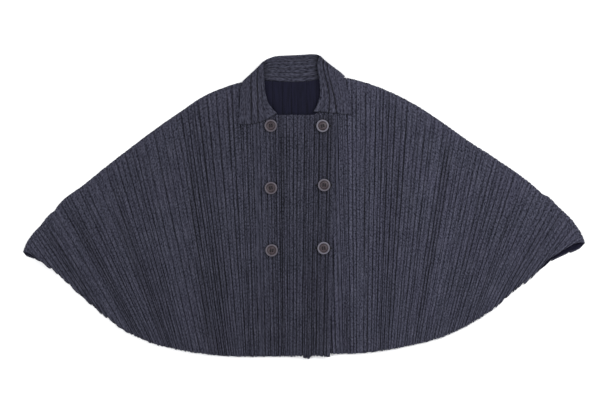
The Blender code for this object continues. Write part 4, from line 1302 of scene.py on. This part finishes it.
def buttonhole_stitches(button, size):
    """A worked buttonhole, level and a little wider than its button, with a bar at each end."""
    stitches = []
    half = size / 2 + HOLE_EXTRA
    height = button.base + HOLE_LIFT
    for i in range(int(2 * half / HOLE_STEP) + 1):
        x = button.x - half + HOLE_STEP * i
        for side in (-1.0, 1.0):
            inner, outer = (button.y + side * reach for reach in HOLE_LIPS)
            stitches.append(((x, inner, height), (x + HOLE_SLANT, outer, height - HOLE_FALL)))
    for end in (-1.0, 1.0):
        for i in range(BAR_THREADS):
            x = button.x + end * (half + BAR_START + BAR_STEP * i)
            stitches.append(((x, button.y - BAR_HALF, height), (x, button.y + BAR_HALF, height)))
    return stitches


def edge_stitches(cloth):
    """The seams along the lap's edge and along the hems of both fronts."""
    right, left = PanelCloth(cloth, RIGHT_FRONT), PanelCloth(cloth, LEFT_FRONT)
    share = np.linspace(*LAP_SEAM, SEAM_POINTS)
    stitches = stitch_line(right, np.full_like(share, right.width - LAP_INSET), share)
    for panel in (right, left):
        across = np.linspace(HEM_SIDE, panel.width - HEM_SIDE, HEM_POINTS)
        stitches += stitch_line(panel, across, 1.0 - HEM_INSET / panel.lengths(across))
    return stitches


class PONCHO_OT_back(bpy.types.Operator):
    """Make the pleated back, with the inside of the cloth facing up"""

    bl_idname = "poncho.back"
    bl_label = "Back"

    def execute(self, context):
        piece = panel_piece(context.scene.poncho_cloth, BACK)
        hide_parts("back")
        return {"FINISHED"}


class PONCHO_OT_left_front(bpy.types.Operator):
    """Make the pleated front that lies under the other at the middle"""

    bl_idname = "poncho.left_front"
    bl_label = "Left front"

    def execute(self, context):
        piece = panel_piece(context.scene.poncho_cloth, LEFT_FRONT)
        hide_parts("front_left")
        return {"FINISHED"}


class PONCHO_OT_right_front(bpy.types.Operator):
    """Make the pleated front that laps over the other"""

    bl_idname = "poncho.right_front"
    bl_label = "Right front"

    def execute(self, context):
        piece = panel_piece(context.scene.poncho_cloth, RIGHT_FRONT)
        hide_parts("front_right")
        return {"FINISHED"}


class PONCHO_OT_collar(bpy.types.Operator):
    """Make the ribbed collar, folded round the neck"""

    bl_idname = "poncho.collar"
    bl_label = "Collar"

    def execute(self, context):
        piece = collar_piece(cloth_materials(context.scene.poncho_cloth, "collar")[:1])
        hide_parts("collar")
        return {"FINISHED"}


class PONCHO_OT_buttons(bpy.types.Operator):
    """Turn and drill the six buttons"""

    bl_idname = "poncho.buttons"
    bl_label = "Buttons"

    def execute(self, context):
        buttons = context.scene.poncho_buttons
        material = shared_material("cast_polyester", cast_polyester, buttons)
        for button in BUTTONS:
            button_piece(button, buttons, material)
        return {"FINISHED"}


class PONCHO_OT_sewing(bpy.types.Operator):
    """Sew the edges, the buttonholes and the buttons"""

    bl_idname = "poncho.sewing"
    bl_label = "Sewing"

    def execute(self, context):
        cloth, buttons = context.scene.poncho_cloth, context.scene.poncho_buttons
        thread = shared_material("spun_thread", spun_thread, cloth)
        holes = []
        for button in BUTTONS:
            if button.base == LAP_TOP:
                holes += buttonhole_stitches(button, buttons.diameter / MM)
        for name, stitches, radius in (
                ("edge_stitches", edge_stitches(cloth), EDGE_THREAD),
                ("buttonholes", holes, HOLE_THREAD),
                ("button_threads", button_threads(buttons), BUTTON_THREAD)):
            add_piece(name, stitch_mesh(name, stitches, radius), [thread])
        return {"FINISHED"}


class PONCHO_OT_studio(bpy.types.Operator):
    """Set up the pale floor, the soft lights and the camera"""

    bl_idname = "poncho.studio"
    bl_label = "Studio"

    FLOOR_SIDE = 30.0
    FLOOR_DROP = 0.15                   # in millimetres, so that it doesn't touch the cloth
    VIEW_MIDDLE = (-0.008, -0.008)      # the point of the floor in the middle of the picture
    # Name, setting that holds the power, place and side of each square lamp
    LAMPS = (
        ("key_lamp", "key_power", (1.45, 0.95, 1.8), 1.4),
        ("fill_lamp", "fill_power", (-1.6, -0.3, 1.8), 1.6),
    )

    def execute(self, context):
        scene, studio = context.scene, context.scene.poncho_studio
        half = self.FLOOR_SIDE / 2
        mesh = bpy.data.meshes.new("floor")
        corners = [(-half, -half, 0.0), (half, -half, 0.0), (half, half, 0.0), (-half, half, 0.0)]
        mesh.from_pydata(corners, [], [(0, 1, 2, 3)])
        mesh.materials.append(shared_material("studio_paint", studio_paint, studio))
        floor = bpy.data.objects.new("floor", mesh)
        floor.location.z = -self.FLOOR_DROP * MM
        scene.collection.objects.link(floor)
        for name, power, place, side in self.LAMPS:
            lamp = bpy.data.lights.new(name, "AREA")
            lamp.shape = "SQUARE"
            lamp.size = side
            lamp.energy = getattr(studio, power)
            stand = bpy.data.objects.new(name, lamp)
            stand.location = place
            stand.rotation_euler = (-Vector(place)).to_track_quat("-Z", "Y").to_euler()
            stand.visible_camera = False
            scene.collection.objects.link(stand)
        world = bpy.data.worlds.new("studio_sky")
        world.use_nodes = True
        sky = world.node_tree.nodes["Background"]
        sky.inputs["Color"].default_value = tuple(studio.sky)
        sky.inputs["Strength"].default_value = studio.sky_strength
        scene.world = world
        scene.view_settings.view_transform = "Standard"
        lens = bpy.data.cameras.new("camera")
        lens.lens = studio.lens
        camera = bpy.data.objects.new("camera", lens)
        distance = studio.view_width * lens.lens / lens.sensor_width
        camera.location = (*self.VIEW_MIDDLE, distance)
        scene.collection.objects.link(camera)
        scene.camera = camera
        return {"FINISHED"}


class PONCHO_PT_sidebar(bpy.types.Panel):
    """Buttons for each piece of the coat and for the studio"""

    bl_idname = "PONCHO_PT_sidebar"
    bl_label = "Poncho coat"
    bl_space_type = "VIEW_3D"
    bl_region_type = "UI"
    bl_category = "Poncho"

    def draw(self, context):
        for operator in OPERATORS:
            self.layout.operator(operator.bl_idname)
        for name in ("poncho_cloth", "poncho_buttons", "poncho_studio"):
            settings = getattr(context.scene, name)
            box = self.layout.box()
            for key in settings.__annotations__:
                box.prop(settings, key)


OPERATORS = (
    PONCHO_OT_back, PONCHO_OT_left_front, PONCHO_OT_right_front, PONCHO_OT_collar,
    PONCHO_OT_buttons, PONCHO_OT_sewing, PONCHO_OT_studio,
)
SETTINGS = (
    ("poncho_cloth", ClothSettings), ("poncho_buttons", ButtonSettings),
    ("poncho_studio", StudioSettings),
)


def register():
    """Make the settings, operators and sidebar known to Blender."""
    for name, group in SETTINGS:
        bpy.utils.register_class(group)
        setattr(bpy.types.Scene, name, bpy.props.PointerProperty(type=group))
    for operator in OPERATORS:
        bpy.utils.register_class(operator)
    bpy.utils.register_class(PONCHO_PT_sidebar)


def unregister():
    """Take them away again."""
    bpy.utils.unregister_class(PONCHO_PT_sidebar)
    for operator in reversed(OPERATORS):
        bpy.utils.unregister_class(operator)
    for name, group in reversed(SETTINGS):
        delattr(bpy.types.Scene, name)
        bpy.utils.unregister_class(group)


def main():
    """Dress the coat and set up the studio."""
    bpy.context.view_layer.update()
    register()
    bpy.ops.poncho.back()
    bpy.ops.poncho.left_front()
    bpy.ops.poncho.right_front()
    bpy.ops.poncho.collar()
    bpy.ops.poncho.buttons()
    bpy.ops.poncho.sewing()
    bpy.ops.poncho.studio()
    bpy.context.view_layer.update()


if __name__ == "__main__":
    main()
